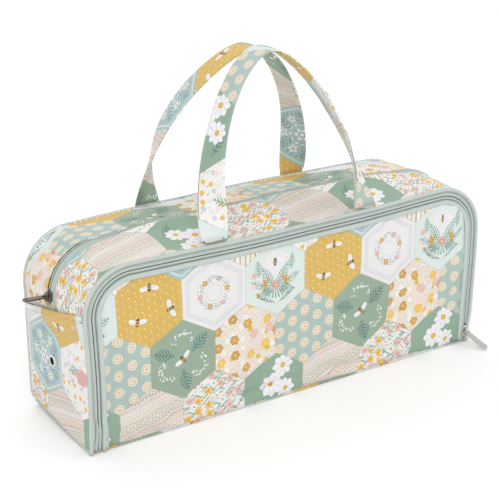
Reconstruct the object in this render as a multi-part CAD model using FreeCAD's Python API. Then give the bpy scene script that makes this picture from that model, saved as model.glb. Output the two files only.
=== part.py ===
"""A padded knitting bag: a long soft box with a top zip, a full front flap on a three-sided zip,
two strap handles and a yarn eyelet.

Millimetres, +Z up.  The origin is the middle of the flat base.  The front flap faces -Y and the
eyelet end is at -X.  One STEP file is written for each separate piece.
"""
import FreeCAD, Part
import math
import os

V = FreeCAD.Vector

# ---------------------------------------------------------------- driving dimensions
half_length = 210.0          # end seam to the middle
half_depth = 55.0            # front or back seam to the middle
seam_height = 165.0          # height of the front and back seams above the base
corner_radius = 45.0         # top corners of the front and back panels
base_radius = 10.0           # bottom corners
wall = 2.5                   # printed cloth with its wadding
lining = 0.8                 # lining cloth
dome = 10.0                  # how far the zip stands above the seams at mid length
corner_dome = 4.5            # the same where the straight top run meets a corner
end_dome = 3.0               # how far an end bulges past its seams
gusset_end_height = 117.0    # where the end gussets overlap the ends of the top zip
end_flat = 8.0               # half the width of an end's flat middle, where the eyelet sits
strip_thickness = 2.4        # top strips, cloth and wadding

# front zip, across its width
zip_line = 7.5               # seam to the middle of the zip
coil_gap = 1.0               # middle of a zip to each coil
coil_width = 1.7
coil_height = 1.6
tape_thickness = 0.8
tape_reach = 8.0             # middle of the front zip to the hidden edge of the flap's tape
flap_edge = 12.5             # seam to the edge of the flap panel
flap_bottom = 2.5            # lower edge of the flap above the base

# front pocket
divider_y = -39.0            # front face of the wall behind the front pocket
pocket_cloth = 1.0
needle_pocket_half = 185.0
needle_pocket_low = 10.0
needle_pocket_high = 92.0
flap_pocket_half = 150.0
flap_pocket_low = 16.0
flap_pocket_high = 96.0

# top zip
strip_edge = 5.2             # middle of the top zip to the edge of each printed strip
top_tape_reach = 14.0
top_coil_drop = 1.0          # coils lie this far below the cloth
corner_arc_x = 166.5         # centre of the arc that the top zip follows round each corner
corner_arc_z = 123.0
corner_arc_radius = 46.5
corner_steps = 16

# sliders and pulls
slider_length = 11.0
slider_half_width = 3.9
slider_plate = 1.4
slider_clearance = 0.4       # over and beside the coils
slider_under_clearance = 0.9 # below the tapes
slider_web = 0.7             # half the thickness of the wedge between the coils
bridge_radius = 3.0
bridge_half_width = 1.2
bridge_trim = 0.8            # the lug is this much slimmer than the pull's fork
bridge_sink = 0.3            # its foot is cast into the plate
lug_rise = 2.0               # slider plate to the middle of the pin
pin_radius = 1.0
pin_clearance = 0.3
prong = 1.2
prong_radius = 1.5
fork_clearance = 0.5
fork_overlap = 1.0           # of the prongs along the tongue
pull_hole = 1.4
front_pull_length = 27.0
top_pull_length = 21.0
pull_half_width = 3.2
pull_thickness = 1.4
front_slider_z = 12.5        # middle of the front slider, zip closed
front_pull_droop = 23.0      # degrees below level, its tip just over the table
front_pull_skew = 12.0       # degrees that its tongue lies askew, towards the end of the bag
top_slider_angle = 4.0       # degrees round the left corner arc, zip closed

# handles
handle_offset_x = -6.0       # the handles are sewn a little off centre
handle_half_spacing = 79.0
handle_hinge_y = 57.0
handle_foot_z = 166.5
handle_apex_y = 14.0         # the two handles lean together and nearly touch
strap_width = 25.0
strap_thickness = 2.4
front_arch = 145.0           # crown above the feet
back_arch = 141.0
leg_rise = 0.6               # share of the arch over which a leg stays nearly upright
crown_reach = 25.0           # how far the crown runs level each way
front_leg_bow = -2.0         # the front legs lean together
back_leg_bow = 8.0           # the back legs bow apart
front_lean_power = 1.0       # straight lean
back_lean_power = 1.8        # upright foot, then a lean
twist_rate = 0.24            # how quickly the strap turns from its foot to its crown
handle_sections = 17         # sections from foot to crown

# piping and eyelet
piping_radius = 1.3
piping_inset = 2.8
eyelet_z = 67.0
eyelet_hole = 3.5
eyelet_wall = 0.7
eyelet_flange = 5.2
eyelet_flange_thickness = 0.8
eyelet_rounding = 0.5
eyelet_stand = 1.2           # tube past the inside of the gusset
eyelet_washer = 6.0
eyelet_washer_thickness = 1.0
eyelet_fit = 0.05
flap_lining_gap = 0.3

# ---------------------------------------------------------------- worked-out places
front_y = -half_depth                      # plane of the front seam
tape_y = front_y + 1.2                     # inner face of the front zip tape
tape_front_y = tape_y - tape_thickness
coil_front_y = tape_front_y - coil_height
panel_front_y = tape_front_y - wall
back_inner_y = half_depth - wall
inset = wall + lining                      # seam to the inside of the lining
corner_x = half_length - corner_radius     # centre of a top corner of the front outline
corner_z = seam_height - corner_radius
zip_x = half_length - zip_line             # middle of the front zip's right side
mid_span = 100.0                           # the top stands at its full height this far each way
run_gap = 0.4                              # round the moving strips
strip_root = back_inner_y - run_gap        # where a top strip starts, beside its seam
cut_margin = 1.0                           # a cutting shape reaches this far past what it cuts
far_cut = 20.0                             # the same where the cut has plenty of room
slider_gap = 1.0                           # closed slider to the end of the flap's zip
tolerance = 0.01                           # for picking faces and edges
quarter_turn = 90.0

os.makedirs("parts", exist_ok=True)


def save(name, shape):
    """Write one piece; the file's name is the piece's name."""
    shape.exportStep("parts/" + name + ".step")


def box(x0, x1, y0, y1, z0, z1):
    return Part.makeBox(x1 - x0, y1 - y0, z1 - z0, V(x0, y0, z0))


def polygon(points):
    return Part.makePolygon(points + points[:1])


def prism(points, direction):
    return Part.Face(polygon(points)).extrude(direction)


def loft(sections):
    """Straight-ruled solid through closed four-cornered sections."""
    return Part.makeLoft([polygon(points) for points in sections], True, True)


def outline_prism(offset, y0, y1, low, low_radius=0.0):
    """The bag's front outline, drawn in by offset, as a plate from y0 to y1 standing on z = low."""
    half = half_length - offset
    top = seam_height - offset
    radius = corner_radius - offset
    edges = []
    bow = math.sqrt(0.5)
    cx = half - radius
    cz = top - radius
    edges.append(Part.LineSegment(V(half, y0, low + low_radius), V(half, y0, cz)).toShape())
    edges.append(Part.Arc(V(half, y0, cz), V(cx + radius * bow, y0, cz + radius * bow),
                          V(cx, y0, top)).toShape())
    edges.append(Part.LineSegment(V(cx, y0, top), V(-cx, y0, top)).toShape())
    edges.append(Part.Arc(V(-cx, y0, top), V(-cx - radius * bow, y0, cz + radius * bow),
                          V(-half, y0, cz)).toShape())
    edges.append(Part.LineSegment(V(-half, y0, cz), V(-half, y0, low + low_radius)).toShape())
    if low_radius:
        fx = half - low_radius
        fz = low + low_radius
        edges.append(Part.Arc(V(-half, y0, fz), V(-fx - low_radius * bow, y0, fz - low_radius * bow),
                              V(-fx, y0, low)).toShape())
        edges.append(Part.LineSegment(V(-fx, y0, low), V(fx, y0, low)).toShape())
        edges.append(Part.Arc(V(fx, y0, low), V(fx + low_radius * bow, y0, fz - low_radius * bow),
                              V(half, y0, fz)).toShape())
    else:
        edges.append(Part.LineSegment(V(-half, y0, low), V(half, y0, low)).toShape())
    return Part.Face(Part.Wire(edges)).extrude(V(0, y1 - y0, 0))


def three_sided_band(outer, inner, y0, y1, low):
    """A band up the left side, over the top and down the right side of the front."""
    hole = outline_prism(inner, y0 - cut_margin, y1 + cut_margin, low - far_cut)
    return outline_prism(outer, y0, y1, low).cut(hole)


# ---------------------------------------------------------------- fixed shell
def back_panel():
    return outline_prism(0.0, back_inner_y, half_depth, 0.0, base_radius)


def back_lining():
    return outline_prism(inset, back_inner_y - lining, back_inner_y, inset, base_radius - inset)


def back_piping():
    """Round cord sewn into the back seam, standing just behind the panel."""
    plate = outline_prism(piping_inset, half_depth, half_depth + piping_radius, piping_inset,
                          base_radius - piping_inset)
    path = [face for face in plate.Faces
            if abs(face.CenterOfMass.y - half_depth) < tolerance][0].OuterWire
    cord_y = half_depth + piping_radius
    path = path.copy()
    path.translate(V(0, piping_radius, 0))
    start = V(half_length - piping_inset, cord_y, 0.5 * seam_height)
    profile = Part.Wire(Part.makeCircle(piping_radius, start, V(0, 0, 1)))
    spine = Part.Wire(Part.sortEdges(split_at(path, start))[0])
    return spine.makePipeShell([profile], True, False)


def split_at(path, point):
    """The edges of a closed path, with the right-hand side cut at the point."""
    edges = []
    for edge in path.Edges:
        ends = [vertex.Point for vertex in edge.Vertexes]
        upright = all(abs(end.x - point.x) < tolerance for end in ends)
        if upright:
            low, high = sorted(ends, key=lambda end: end.z)
            edges.append(Part.LineSegment(point, high).toShape())
            last = Part.LineSegment(low, point).toShape()
        else:
            edges.append(edge)
    return edges + [last]


def bottom_gusset():
    """The bottom strip, turned up at both ends."""
    outer = outline_prism(0.0, tape_y, back_inner_y, 0.0, base_radius)
    inner = outline_prism(wall, tape_y - cut_margin, back_inner_y + cut_margin, wall,
                          base_radius - wall)
    keep = box(-half_length, half_length, tape_y, back_inner_y, 0.0, base_radius)
    return outer.cut(inner).common(keep)


def bottom_lining():
    half = half_length - base_radius
    return box(-half, half, tape_y, back_inner_y - lining, wall, inset)


def end_profile(side, thickness, outer_gap):
    """Plan of an end gusset: flat in the middle for the eyelet, falling back to the seams."""
    seam = half_length - outer_gap
    crown = half_length + end_dome - outer_gap
    outer = [(seam, tape_y), (crown, -end_flat), (crown, end_flat), (seam, back_inner_y)]
    inner = [(x - thickness, y) for x, y in reversed(outer)]
    return [V(side * x, y, base_radius) for x, y in outer + inner]


def end_gusset(side):
    return prism(end_profile(side, wall, 0.0), V(0, 0, gusset_end_height - base_radius))


def end_lining(side):
    near = side * (half_length - wall)
    far = side * (half_length - inset)
    return box(min(near, far), max(near, far), tape_y, back_inner_y - lining,
               base_radius, gusset_end_height)


def across_x(radius, x0, x1):
    return Part.makeCylinder(radius, x1 - x0, V(x0, 0, eyelet_z), V(1, 0, 0))


def yarn_eyelet():
    """Flanged tube set through the left end gusset."""
    face = -half_length - end_dome
    flange = across_x(eyelet_flange, face - eyelet_flange_thickness, face)
    rim_x = face - eyelet_flange_thickness
    rim = [edge for edge in flange.Edges
           if abs(edge.BoundBox.XMin - rim_x) < tolerance and edge.BoundBox.XLength < tolerance]
    flange = flange.makeFillet(eyelet_rounding, rim)
    tube = across_x(eyelet_hole + eyelet_wall, face, face + wall + eyelet_stand)
    bore = across_x(eyelet_hole, face - far_cut, face + far_cut)
    return flange.fuse(tube).cut(bore).removeSplitter()


def yarn_eyelet_washer():
    inner_face = -half_length - end_dome + wall
    ring = across_x(eyelet_washer, inner_face, inner_face + eyelet_washer_thickness)
    bore = across_x(eyelet_hole + eyelet_wall + eyelet_fit, inner_face - far_cut, inner_face + far_cut)
    return ring.cut(bore)


# ---------------------------------------------------------------- top strips and top zip
def top_section(x, side, y_root, y_edge, drop, thickness):
    """Cross-section of a top layer at station x, from its seam towards the zip."""
    share = min(1.0, (corner_x - abs(x)) / (corner_x - mid_span))
    rise = corner_dome + (dome - corner_dome) * share
    points = []
    for y in (y_root, y_edge):
        points.append((y, seam_height + rise * (strip_root - y) / strip_root - drop))
    outer = [V(x, side * y, z) for y, z in points]
    inner = [V(x, side * y, z - thickness) for y, z in reversed(points)]
    return outer + inner


def top_run(side, y_root, y_edge, drop, thickness):
    """A top layer along the straight run between the corners."""
    far = corner_x - run_gap
    stations = (-far, -mid_span, mid_span, far)
    return loft([top_section(x, side, y_root, y_edge, drop, thickness) for x in stations])


def corner_section(angle, end, side, y_root, y_edge, drop, thickness):
    """Section of a corner layer: the seam and the zip follow two slightly different arcs."""
    swing = V(end * math.cos(angle), 0, math.sin(angle))
    seam = V(end * corner_x, 0, corner_z) + swing * corner_radius
    line = V(end * corner_arc_x, 0, corner_arc_z) + swing * corner_arc_radius
    outer = []
    for y in (y_root, y_edge):
        share = (strip_root - y) / strip_root
        outer.append(seam + (line - seam) * share + V(0, side * y, 0) - swing * drop)
    inner = [point - swing * thickness for point in reversed(outer)]
    return outer + inner


def corner_run(end, side, y_root, y_edge, drop, thickness):
    """A top layer round one corner, from the end gusset up to the straight run."""
    start = corner_section(0.0, end, side, y_root, y_edge, drop, thickness)
    sections = [[V(point.x, point.y, gusset_end_height) for point in start], start]
    for i in range(1, corner_steps + 1):
        angle = math.radians(quarter_turn * i / corner_steps)
        sections.append(corner_section(angle, end, side, y_root, y_edge, drop, thickness))
    return loft(sections)


tape_drop = top_coil_drop + coil_height
layers = {
    "strip": (strip_root, strip_edge, 0.0, strip_thickness),
    "zip_tape": (top_tape_reach, coil_gap, tape_drop, tape_thickness),
    "zip_coil": (coil_gap + coil_width, coil_gap, top_coil_drop, coil_height),
}


# ---------------------------------------------------------------- front flap, zip and pocket
def divider_wall():
    return outline_prism(inset, divider_y, divider_y + lining, inset, base_radius - inset)


def needle_pocket():
    """Low slip pocket for needles, stitched flat to the divider."""
    return box(-needle_pocket_half, needle_pocket_half, divider_y - pocket_cloth, divider_y,
               needle_pocket_low, needle_pocket_high)


def flap_panel():
    return outline_prism(flap_edge, panel_front_y, tape_front_y, flap_bottom)


def flap_lining():
    hidden = zip_line + tape_reach + flap_lining_gap
    return outline_prism(hidden, tape_front_y, tape_y, flap_bottom)


def flap_pocket():
    return box(-flap_pocket_half, flap_pocket_half, tape_y, tape_y + pocket_cloth,
               flap_pocket_low, flap_pocket_high)


def clear_of_slider(shape):
    """The flap's half of the zip ends just above the closed slider."""
    top = front_slider_z + 0.5 * slider_length + slider_gap
    return shape.cut(box(zip_x - tape_reach - cut_margin, half_length, front_y - far_cut, 0.0,
                         -cut_margin, top))


def front_zip(part):
    outer_coil_edge = zip_line - coil_gap
    inner_coil_edge = zip_line + coil_gap
    bands = {
        "outer_tape": (0.0, outer_coil_edge, tape_front_y, tape_y),
        "outer_coil": (outer_coil_edge - coil_width, outer_coil_edge, coil_front_y, tape_front_y),
        "inner_tape": (inner_coil_edge, zip_line + tape_reach, tape_front_y, tape_y),
        "inner_coil": (inner_coil_edge, inner_coil_edge + coil_width, coil_front_y, tape_front_y),
    }
    outer, inner, y0, y1 = bands[part]
    band = three_sided_band(outer, inner, y0, y1, flap_bottom)
    return clear_of_slider(band) if part.startswith("inner") else band


# ---------------------------------------------------------------- sliders and pulls
def slider_sections():
    """Rectangles of a slider's section as (across0, across1, up0, up1); up = 0 is the tape's face."""
    top = coil_height + slider_clearance
    plate_top = top + slider_plate
    under = -tape_thickness - slider_under_clearance
    flange = coil_gap + coil_width + slider_clearance
    half = slider_half_width
    return [(-half, half, top, plate_top),
            (-half, -flange, slider_clearance, top),
            (flange, half, slider_clearance, top),
            (-slider_web, slider_web, under, top),
            (-half, half, under - slider_plate, under)]


slider_top = coil_height + slider_clearance + slider_plate
pivot_rise = slider_top + lug_rise


def fuse_all(shapes):
    body = shapes[0]
    for shape in shapes[1:]:
        body = body.fuse(shape)
    return body.removeSplitter()


def front_slider():
    half = 0.5 * slider_length
    solids = []
    for a0, a1, u0, u1 in slider_sections():
        solids.append(box(zip_x + a0, zip_x + a1, tape_front_y - u1, tape_front_y - u0,
                          front_slider_z - half, front_slider_z + half))
    pivot = V(zip_x, tape_front_y - pivot_rise, front_slider_z)
    root = V(zip_x, tape_front_y - slider_top, front_slider_z)
    solids.append(bridge(pivot, root, V(1, 0, 0)))
    return fuse_all(solids).cut(pin_hole(pivot, V(1, 0, 0)))


def bridge(pivot, root, axis):
    """The lug on a slider that its pull hangs from, as wide as the pull's fork allows."""
    reach = bridge_radius - bridge_trim
    lug = Part.makeCylinder(reach, 2.0 * bridge_half_width, pivot - axis * bridge_half_width, axis)
    up = (pivot - root).normalize()
    along = axis.cross(up)
    sunk = root - up * bridge_sink
    corners = [sunk - along * reach, sunk + along * reach,
               pivot + along * reach, pivot - along * reach]
    foot = prism([corner - axis * bridge_half_width for corner in corners],
                 axis * (2.0 * bridge_half_width))
    return lug.fuse(foot)


def pin_hole(pivot, axis):
    return Part.makeCylinder(pin_radius + pin_clearance, 4.0 * bridge_half_width,
                             pivot - axis * 2.0 * bridge_half_width, axis)


def pull(pivot, axis, out, skew, length):
    """A pull tab: a pin through the lug, two prongs and a rounded tongue, skew degrees off out."""
    side = axis.cross(out)
    inner = bridge_half_width + pin_clearance
    outer = inner + prong
    neck = bridge_radius + fork_clearance
    prong_end = neck + fork_overlap
    half_thick = 0.5 * pull_thickness
    pieces = [Part.makeCylinder(pin_radius, 2.0 * outer, pivot - axis * outer, axis)]
    for sign in (-1.0, 1.0):
        near = pivot + axis * (sign * inner)
        pieces.append(Part.makeCylinder(prong_radius, prong, near, axis * sign))
        corners = [near - side * half_thick, near + side * half_thick,
                   near + side * half_thick + out * prong_end,
                   near - side * half_thick + out * prong_end]
        pieces.append(prism(corners, axis * (sign * prong)))
    turn = math.radians(skew)
    ahead = out * math.cos(turn) + axis * math.sin(turn)
    across = axis * math.cos(turn) - out * math.sin(turn)
    start = pivot + out * neck
    end = start + ahead * (length - pull_half_width - neck)
    low = side * -half_thick
    corners = [start - axis * outer, start + axis * outer,
               end + across * pull_half_width, end - across * pull_half_width]
    pieces.append(prism([corner + low for corner in corners], side * pull_thickness))
    pieces.append(Part.makeCylinder(pull_half_width, pull_thickness, end + low, side))
    hole = Part.makeCylinder(pull_hole, 3.0 * pull_thickness, end + low * 3.0, side)
    return fuse_all(pieces).cut(hole)


def front_pull():
    droop = math.radians(front_pull_droop)
    pivot = V(zip_x, tape_front_y - pivot_rise, front_slider_z)
    return pull(pivot, V(1, 0, 0), V(0, -math.cos(droop), -math.sin(droop)), front_pull_skew,
                front_pull_length)


def corner_arc_point(radius, degrees):
    """A point on the left corner's zip arc, degrees up from level."""
    angle = math.radians(degrees)
    return V(-corner_arc_x - radius * math.cos(angle), 0, corner_arc_z + radius * math.sin(angle))


def top_slider():
    """The same slider bent to the corner's arc, so that it runs round it."""
    tape_radius = corner_arc_radius - tape_drop
    span = math.degrees(slider_length / tape_radius)
    centre = V(-corner_arc_x, 0, corner_arc_z)
    solids = []
    for a0, a1, u0, u1 in slider_sections():
        face = [V(-corner_arc_x - tape_radius - u0, a0, corner_arc_z),
                V(-corner_arc_x - tape_radius - u1, a0, corner_arc_z),
                V(-corner_arc_x - tape_radius - u1, a1, corner_arc_z),
                V(-corner_arc_x - tape_radius - u0, a1, corner_arc_z)]
        solid = Part.Face(polygon(face)).revolve(centre, V(0, 1, 0), span)
        solid.rotate(centre, V(0, 1, 0), top_slider_angle - 0.5 * span)
        solids.append(solid)
    pivot = corner_arc_point(tape_radius + pivot_rise, top_slider_angle)
    root = corner_arc_point(tape_radius + slider_top, top_slider_angle)
    solids.append(bridge(pivot, root, V(0, 1, 0)))
    return fuse_all(solids).cut(pin_hole(pivot, V(0, 1, 0)))


def top_pull():
    """Standing straight out from its slider."""
    pivot = corner_arc_point(corner_arc_radius - tape_drop + pivot_rise, top_slider_angle)
    out = corner_arc_point(1.0, top_slider_angle) - corner_arc_point(0.0, top_slider_angle)
    return pull(pivot, V(0, 1, 0), out, 0.0, top_pull_length)


# ---------------------------------------------------------------- handles
def arch_point(t, side, arch, bow, power):
    """Middle line of a handle from its left foot (t = 0) to its crown (t = 1), a Bezier curve."""
    a, b, c, d = (1 - t) ** 3, 3 * (1 - t) ** 2 * t, 3 * (1 - t) * t ** 2, t ** 3
    x = -a * handle_half_spacing - b * (handle_half_spacing + bow) - c * crown_reach
    z = b * leg_rise * arch + (c + d) * arch
    lean = (handle_hinge_y - handle_apex_y) * (z / arch) ** power
    return V(x, side * (handle_hinge_y - lean), z)


def handle(side, arch, bow, power):
    """A flat strap that stands across its seam at the feet and turns to lie level at the crown."""
    n = handle_sections
    whole_turn = math.radians(quarter_turn)
    left = [arch_point(i / n, side, arch, bow, power) for i in range(n + 1)]
    right = [V(-p.x, p.y, p.z) for p in reversed(left[:-1])]
    line = left + right
    run = [0.0]
    for a, b in zip(line, line[1:]):
        run.append(run[-1] + (b - a).Length)
    sections = []
    for i, point in enumerate(line):
        before = line[max(i - 1, 0)]
        after = line[min(i + 1, len(line) - 1)]
        along = (after - before).normalize()
        if i == 0 or i == len(line) - 1:
            along = V(0, 0, 1.0 if i == 0 else -1.0)
        share = 2.0 * min(run[i], run[-1] - run[i]) / run[-1]
        turn = whole_turn * (1 - math.exp(-share / twist_rate)) / (1 - math.exp(-1 / twist_rate))
        outward = V(0, side, 0)
        outward = (outward - along * outward.dot(along)).normalize()
        inward = outward.cross(along) * side
        across = inward * math.cos(turn) + outward * math.sin(turn)
        through = along.cross(across)
        half = across * (0.5 * strap_width)
        thick = through * (0.5 * strap_thickness)
        shift = V(handle_offset_x, 0, handle_foot_z)
        sections.append([point + half + thick + shift, point - half + thick + shift,
                         point - half - thick + shift, point + half - thick + shift])
    return loft(sections)


# ---------------------------------------------------------------- write every piece
save("back_panel", back_panel())
save("back_lining", back_lining())
save("back_piping", back_piping())
save("bottom_gusset", bottom_gusset())
save("bottom_lining", bottom_lining())

yarn_hole = across_x(eyelet_hole + eyelet_wall + eyelet_fit,
                     -half_length - far_cut, -half_length + far_cut)
save("left_end_gusset", end_gusset(-1.0).cut(yarn_hole))
save("left_end_lining", end_lining(-1.0).cut(yarn_hole))
save("right_end_gusset", end_gusset(1.0))
save("right_end_lining", end_lining(1.0))
save("yarn_eyelet", yarn_eyelet())
save("yarn_eyelet_washer", yarn_eyelet_washer())

for layer, sizes in layers.items():
    for face_name, side in (("front", -1.0), ("back", 1.0)):
        save("top_" + face_name + "_" + layer, top_run(side, *sizes))
        for end_name, end in (("left", -1.0), ("right", 1.0)):
            name = "_".join((end_name, "corner", face_name, layer))
            save(name, corner_run(end, side, *sizes))

save("divider_wall", divider_wall())
save("needle_pocket", needle_pocket())
save("flap_panel", flap_panel())
save("flap_lining", flap_lining())
save("flap_pocket", flap_pocket())
for zip_part in ("outer_tape", "outer_coil", "inner_tape", "inner_coil"):
    save("front_zip_" + zip_part, front_zip(zip_part))

save("front_slider", front_slider())
save("front_pull", front_pull())
save("top_slider", top_slider())
save("top_pull", top_pull())
save("front_handle", handle(-1.0, front_arch, front_leg_bow, front_lean_power))
save("back_handle", handle(1.0, back_arch, back_leg_bow, back_lean_power))
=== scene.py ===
"""The looks of a padded knitting bag: patchwork-printed cloth, grey-green zips, strap handles.

Metres, +Z up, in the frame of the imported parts.  The front flap faces -Y and the eyelet end is at -X.
"""
import bpy
import math
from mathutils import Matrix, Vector, noise


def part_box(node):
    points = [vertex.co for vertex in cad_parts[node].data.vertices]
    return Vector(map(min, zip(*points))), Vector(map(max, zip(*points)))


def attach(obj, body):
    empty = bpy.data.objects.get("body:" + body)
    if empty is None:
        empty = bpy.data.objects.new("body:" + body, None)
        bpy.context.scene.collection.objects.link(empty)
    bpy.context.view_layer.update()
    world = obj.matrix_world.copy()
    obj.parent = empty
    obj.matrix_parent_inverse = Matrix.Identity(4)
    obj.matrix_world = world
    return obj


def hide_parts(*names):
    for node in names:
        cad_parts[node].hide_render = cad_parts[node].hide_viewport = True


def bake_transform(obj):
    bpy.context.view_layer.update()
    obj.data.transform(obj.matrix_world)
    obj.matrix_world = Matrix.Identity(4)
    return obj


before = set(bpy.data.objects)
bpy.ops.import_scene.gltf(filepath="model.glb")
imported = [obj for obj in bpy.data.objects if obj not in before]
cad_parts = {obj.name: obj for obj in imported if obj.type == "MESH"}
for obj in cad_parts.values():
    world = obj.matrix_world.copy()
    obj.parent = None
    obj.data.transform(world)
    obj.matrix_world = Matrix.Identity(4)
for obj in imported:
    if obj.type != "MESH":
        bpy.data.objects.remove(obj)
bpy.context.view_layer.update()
mm = 0.001

# ---------------------------------------------------------------- sizes
half_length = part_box("back_panel")[1].x            # end seam to the middle
half_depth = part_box("back_panel")[1].y             # front or back seam to the middle
seam_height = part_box("back_panel")[1].z            # front and back seams above the base
corner_radius = 45 * mm
back_foot = 17 * mm                                # bottom corners of the back
end_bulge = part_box("right_end_gusset")[1].x - half_length
wall = 2.5 * mm                                    # printed cloth with its wadding
lining_cloth = 0.8 * mm
corner_x = half_length - corner_radius
corner_z = seam_height - corner_radius

zip_line = 7.5 * mm                                # front seam to the middle of the front zip
table_gap = 0.2 * mm
welt_width = 3.4 * mm                              # binding along the front seam
eyelet_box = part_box("yarn_eyelet")
eyelet_z = 0.5 * (eyelet_box[0].z + eyelet_box[1].z)
binding_start = 11.2 * mm
flap_cloth_start = 12.9 * mm                       # the flap's edge lies under its binding
binding_end = 15.6 * mm
flap_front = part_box("flap_panel")[0].y             # outer face of the flap
tape_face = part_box("front_zip_outer_tape")[0].y    # outer face of the front zip's tape
coil_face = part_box("front_zip_outer_coil")[0].y
flap_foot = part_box("flap_panel")[0].z

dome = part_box("top_front_strip")[1].z - seam_height
corner_dome = 4.5 * mm
full_dome_x = 100 * mm                             # the top stands at its full height this far each way
zip_arc_x = 166.5 * mm                             # centre of the arc that the top zip follows
zip_arc_z = 123 * mm
zip_arc_radius = 46.5 * mm
strip_edge = 5.2 * mm
top_tape_edge = 9.0 * mm
end_top = 114 * mm                                 # middle of the folded edge over the zip's end
end_top_slope = 0.24                               # it climbs towards the front
tooth_pitch = 1.5 * mm

eyelet_hole = 4.4 * mm                             # radius of the hole in the cloth round the eyelet
behind_flap = 2.2 * mm                             # the base and the ends start this far behind its face

hex_width = 63.2                                   # millimetres across the flats of a printed patch
cloth_x = 149.5 * mm + hex_width * mm              # puts a yellow patch in column 1, left of the middle
cloth_z = -121.5 * mm

# ---------------------------------------------------------------- shaders as arithmetic


def srgb(red, green, blue):
    """Linear colour from the 0 to 255 values of a colour picker."""
    def channel(value):
        share = value / 255.0
        return share / 12.92 if share <= 0.04045 else ((share + 0.055) / 1.055) ** 2.4
    return (channel(red), channel(green), channel(blue), 1.0)


class Field:
    """A number that varies over a surface; arithmetic on it adds Math nodes."""

    def __init__(self, tree, socket):
        self.tree = tree
        self.socket = socket

    def __add__(self, other):
        return calc("ADD", self, other)

    def __radd__(self, other):
        return calc("ADD", other, self)

    def __sub__(self, other):
        return calc("SUBTRACT", self, other)

    def __rsub__(self, other):
        return calc("SUBTRACT", other, self)

    def __mul__(self, other):
        return calc("MULTIPLY", self, other)

    def __rmul__(self, other):
        return calc("MULTIPLY", other, self)

    def __truediv__(self, other):
        return calc("DIVIDE", self, other)

    def __abs__(self):
        return calc("ABSOLUTE", self)


def calc(operation, *values, clamp=False):
    tree = [value for value in values if isinstance(value, Field)][0].tree
    node = tree.nodes.new("ShaderNodeMath")
    node.operation = operation
    node.use_clamp = clamp
    for socket, value in zip(node.inputs, values):
        if isinstance(value, Field):
            tree.links.new(value.socket, socket)
        else:
            socket.default_value = value
    return Field(tree, node.outputs[0])


def sine(field):
    return calc("SINE", field)


def cosine(field):
    return calc("COSINE", field)


def nearest(field):
    return calc("ROUND", field)


def cover(field, blur=0.5):
    """1 where the field is above 0 and 0 where it is below, blurred over the given width."""
    return calc("MULTIPLY_ADD", field, 1.0 / blur, 0.5, clamp=True)


def is_number(field, number):
    return calc("COMPARE", field, float(number), 0.1)


class Spot:
    """Flat coordinates on the cloth, in millimetres, that motifs are drawn in."""

    def __init__(self, x, y):
        self.x = x
        self.y = y

    def moved(self, x, y):
        return Spot(self.x - x, self.y - y)

    def turned(self, degrees):
        c = math.cos(math.radians(degrees))
        s = math.sin(math.radians(degrees))
        return Spot(self.x * c + self.y * s, self.y * c - self.x * s)

    def mirrored(self):
        return Spot(abs(self.x), self.y)

    def far(self):
        return calc("SQRT", self.x * self.x + self.y * self.y)

    def angle(self):
        return calc("ARCTAN2", self.y, self.x)

    def fanned(self, count, first, out):
        """Repeated count times round the middle; x runs outwards from radius out."""
        step = 2.0 * math.pi / count
        turn = self.angle() - math.radians(first)
        turn = turn - nearest(turn / step) * step
        far = self.far()
        return Spot(far * cosine(turn) - out, far * sine(turn))

    def tiled(self, across, up):
        """Repeated in staggered rows."""
        row = nearest(self.y / up)
        place = self.x / across + row * 0.5
        return Spot((place - nearest(place)) * across, self.y - row * up)

    def scattered(self, size, spread=1.0):
        """Repeated in random places; also gives a random number for each place."""
        tree = self.x.tree
        join = tree.nodes.new("ShaderNodeCombineXYZ")
        tree.links.new((self.x / size).socket, join.inputs[0])
        tree.links.new((self.y / size).socket, join.inputs[1])
        cells = tree.nodes.new("ShaderNodeTexVoronoi")
        cells.voronoi_dimensions = "2D"
        cells.inputs["Scale"].default_value = 1.0
        cells.inputs["Randomness"].default_value = spread
        tree.links.new(join.outputs[0], cells.inputs["Vector"])
        reach = tree.nodes.new("ShaderNodeVectorMath")
        reach.operation = "SUBTRACT"
        tree.links.new(join.outputs[0], reach.inputs[0])
        tree.links.new(cells.outputs["Position"], reach.inputs[1])
        split = tree.nodes.new("ShaderNodeSeparateXYZ")
        tree.links.new(reach.outputs[0], split.inputs[0])
        pick = tree.nodes.new("ShaderNodeSeparateColor")
        tree.links.new(cells.outputs["Color"], pick.inputs[0])
        place = Spot(Field(tree, split.outputs[0]) * size, Field(tree, split.outputs[1]) * size)
        return place, Field(tree, pick.outputs[0])


def disc(spot, radius, blur=0.5):
    return cover(radius - spot.far(), blur)


def ring(spot, radius, width):
    return cover(width - abs(spot.far() - radius))


def oval(spot, x, y):
    return cover(1.0 - Spot(spot.x / x, spot.y / y).far(), 0.3)


def blossom(spot, petals, radius, depth):
    return cover(radius * (1.0 + cosine(spot.angle() * petals) * depth) - spot.far(), 0.6)


def frond(spot, length, width, pitch):
    """A leafy stem along +x from the spot."""
    side = abs(spot.y)
    leaves = cosine((spot.x - side * 0.9) * (2.0 * math.pi / pitch)) - 0.2
    along = spot.x / length
    taper = calc("MULTIPLY", along, 1.0 - along) * 4.0
    inside = cover(width * taper - side, 0.6)
    return calc("MAXIMUM", calc("MULTIPLY", cover(leaves, 0.8), inside),
                calc("MULTIPLY", cover(0.35 - side), cover(taper)))


def both(*masks):
    result = masks[0]
    for mask in masks[1:]:
        result = result * mask
    return result


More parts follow.
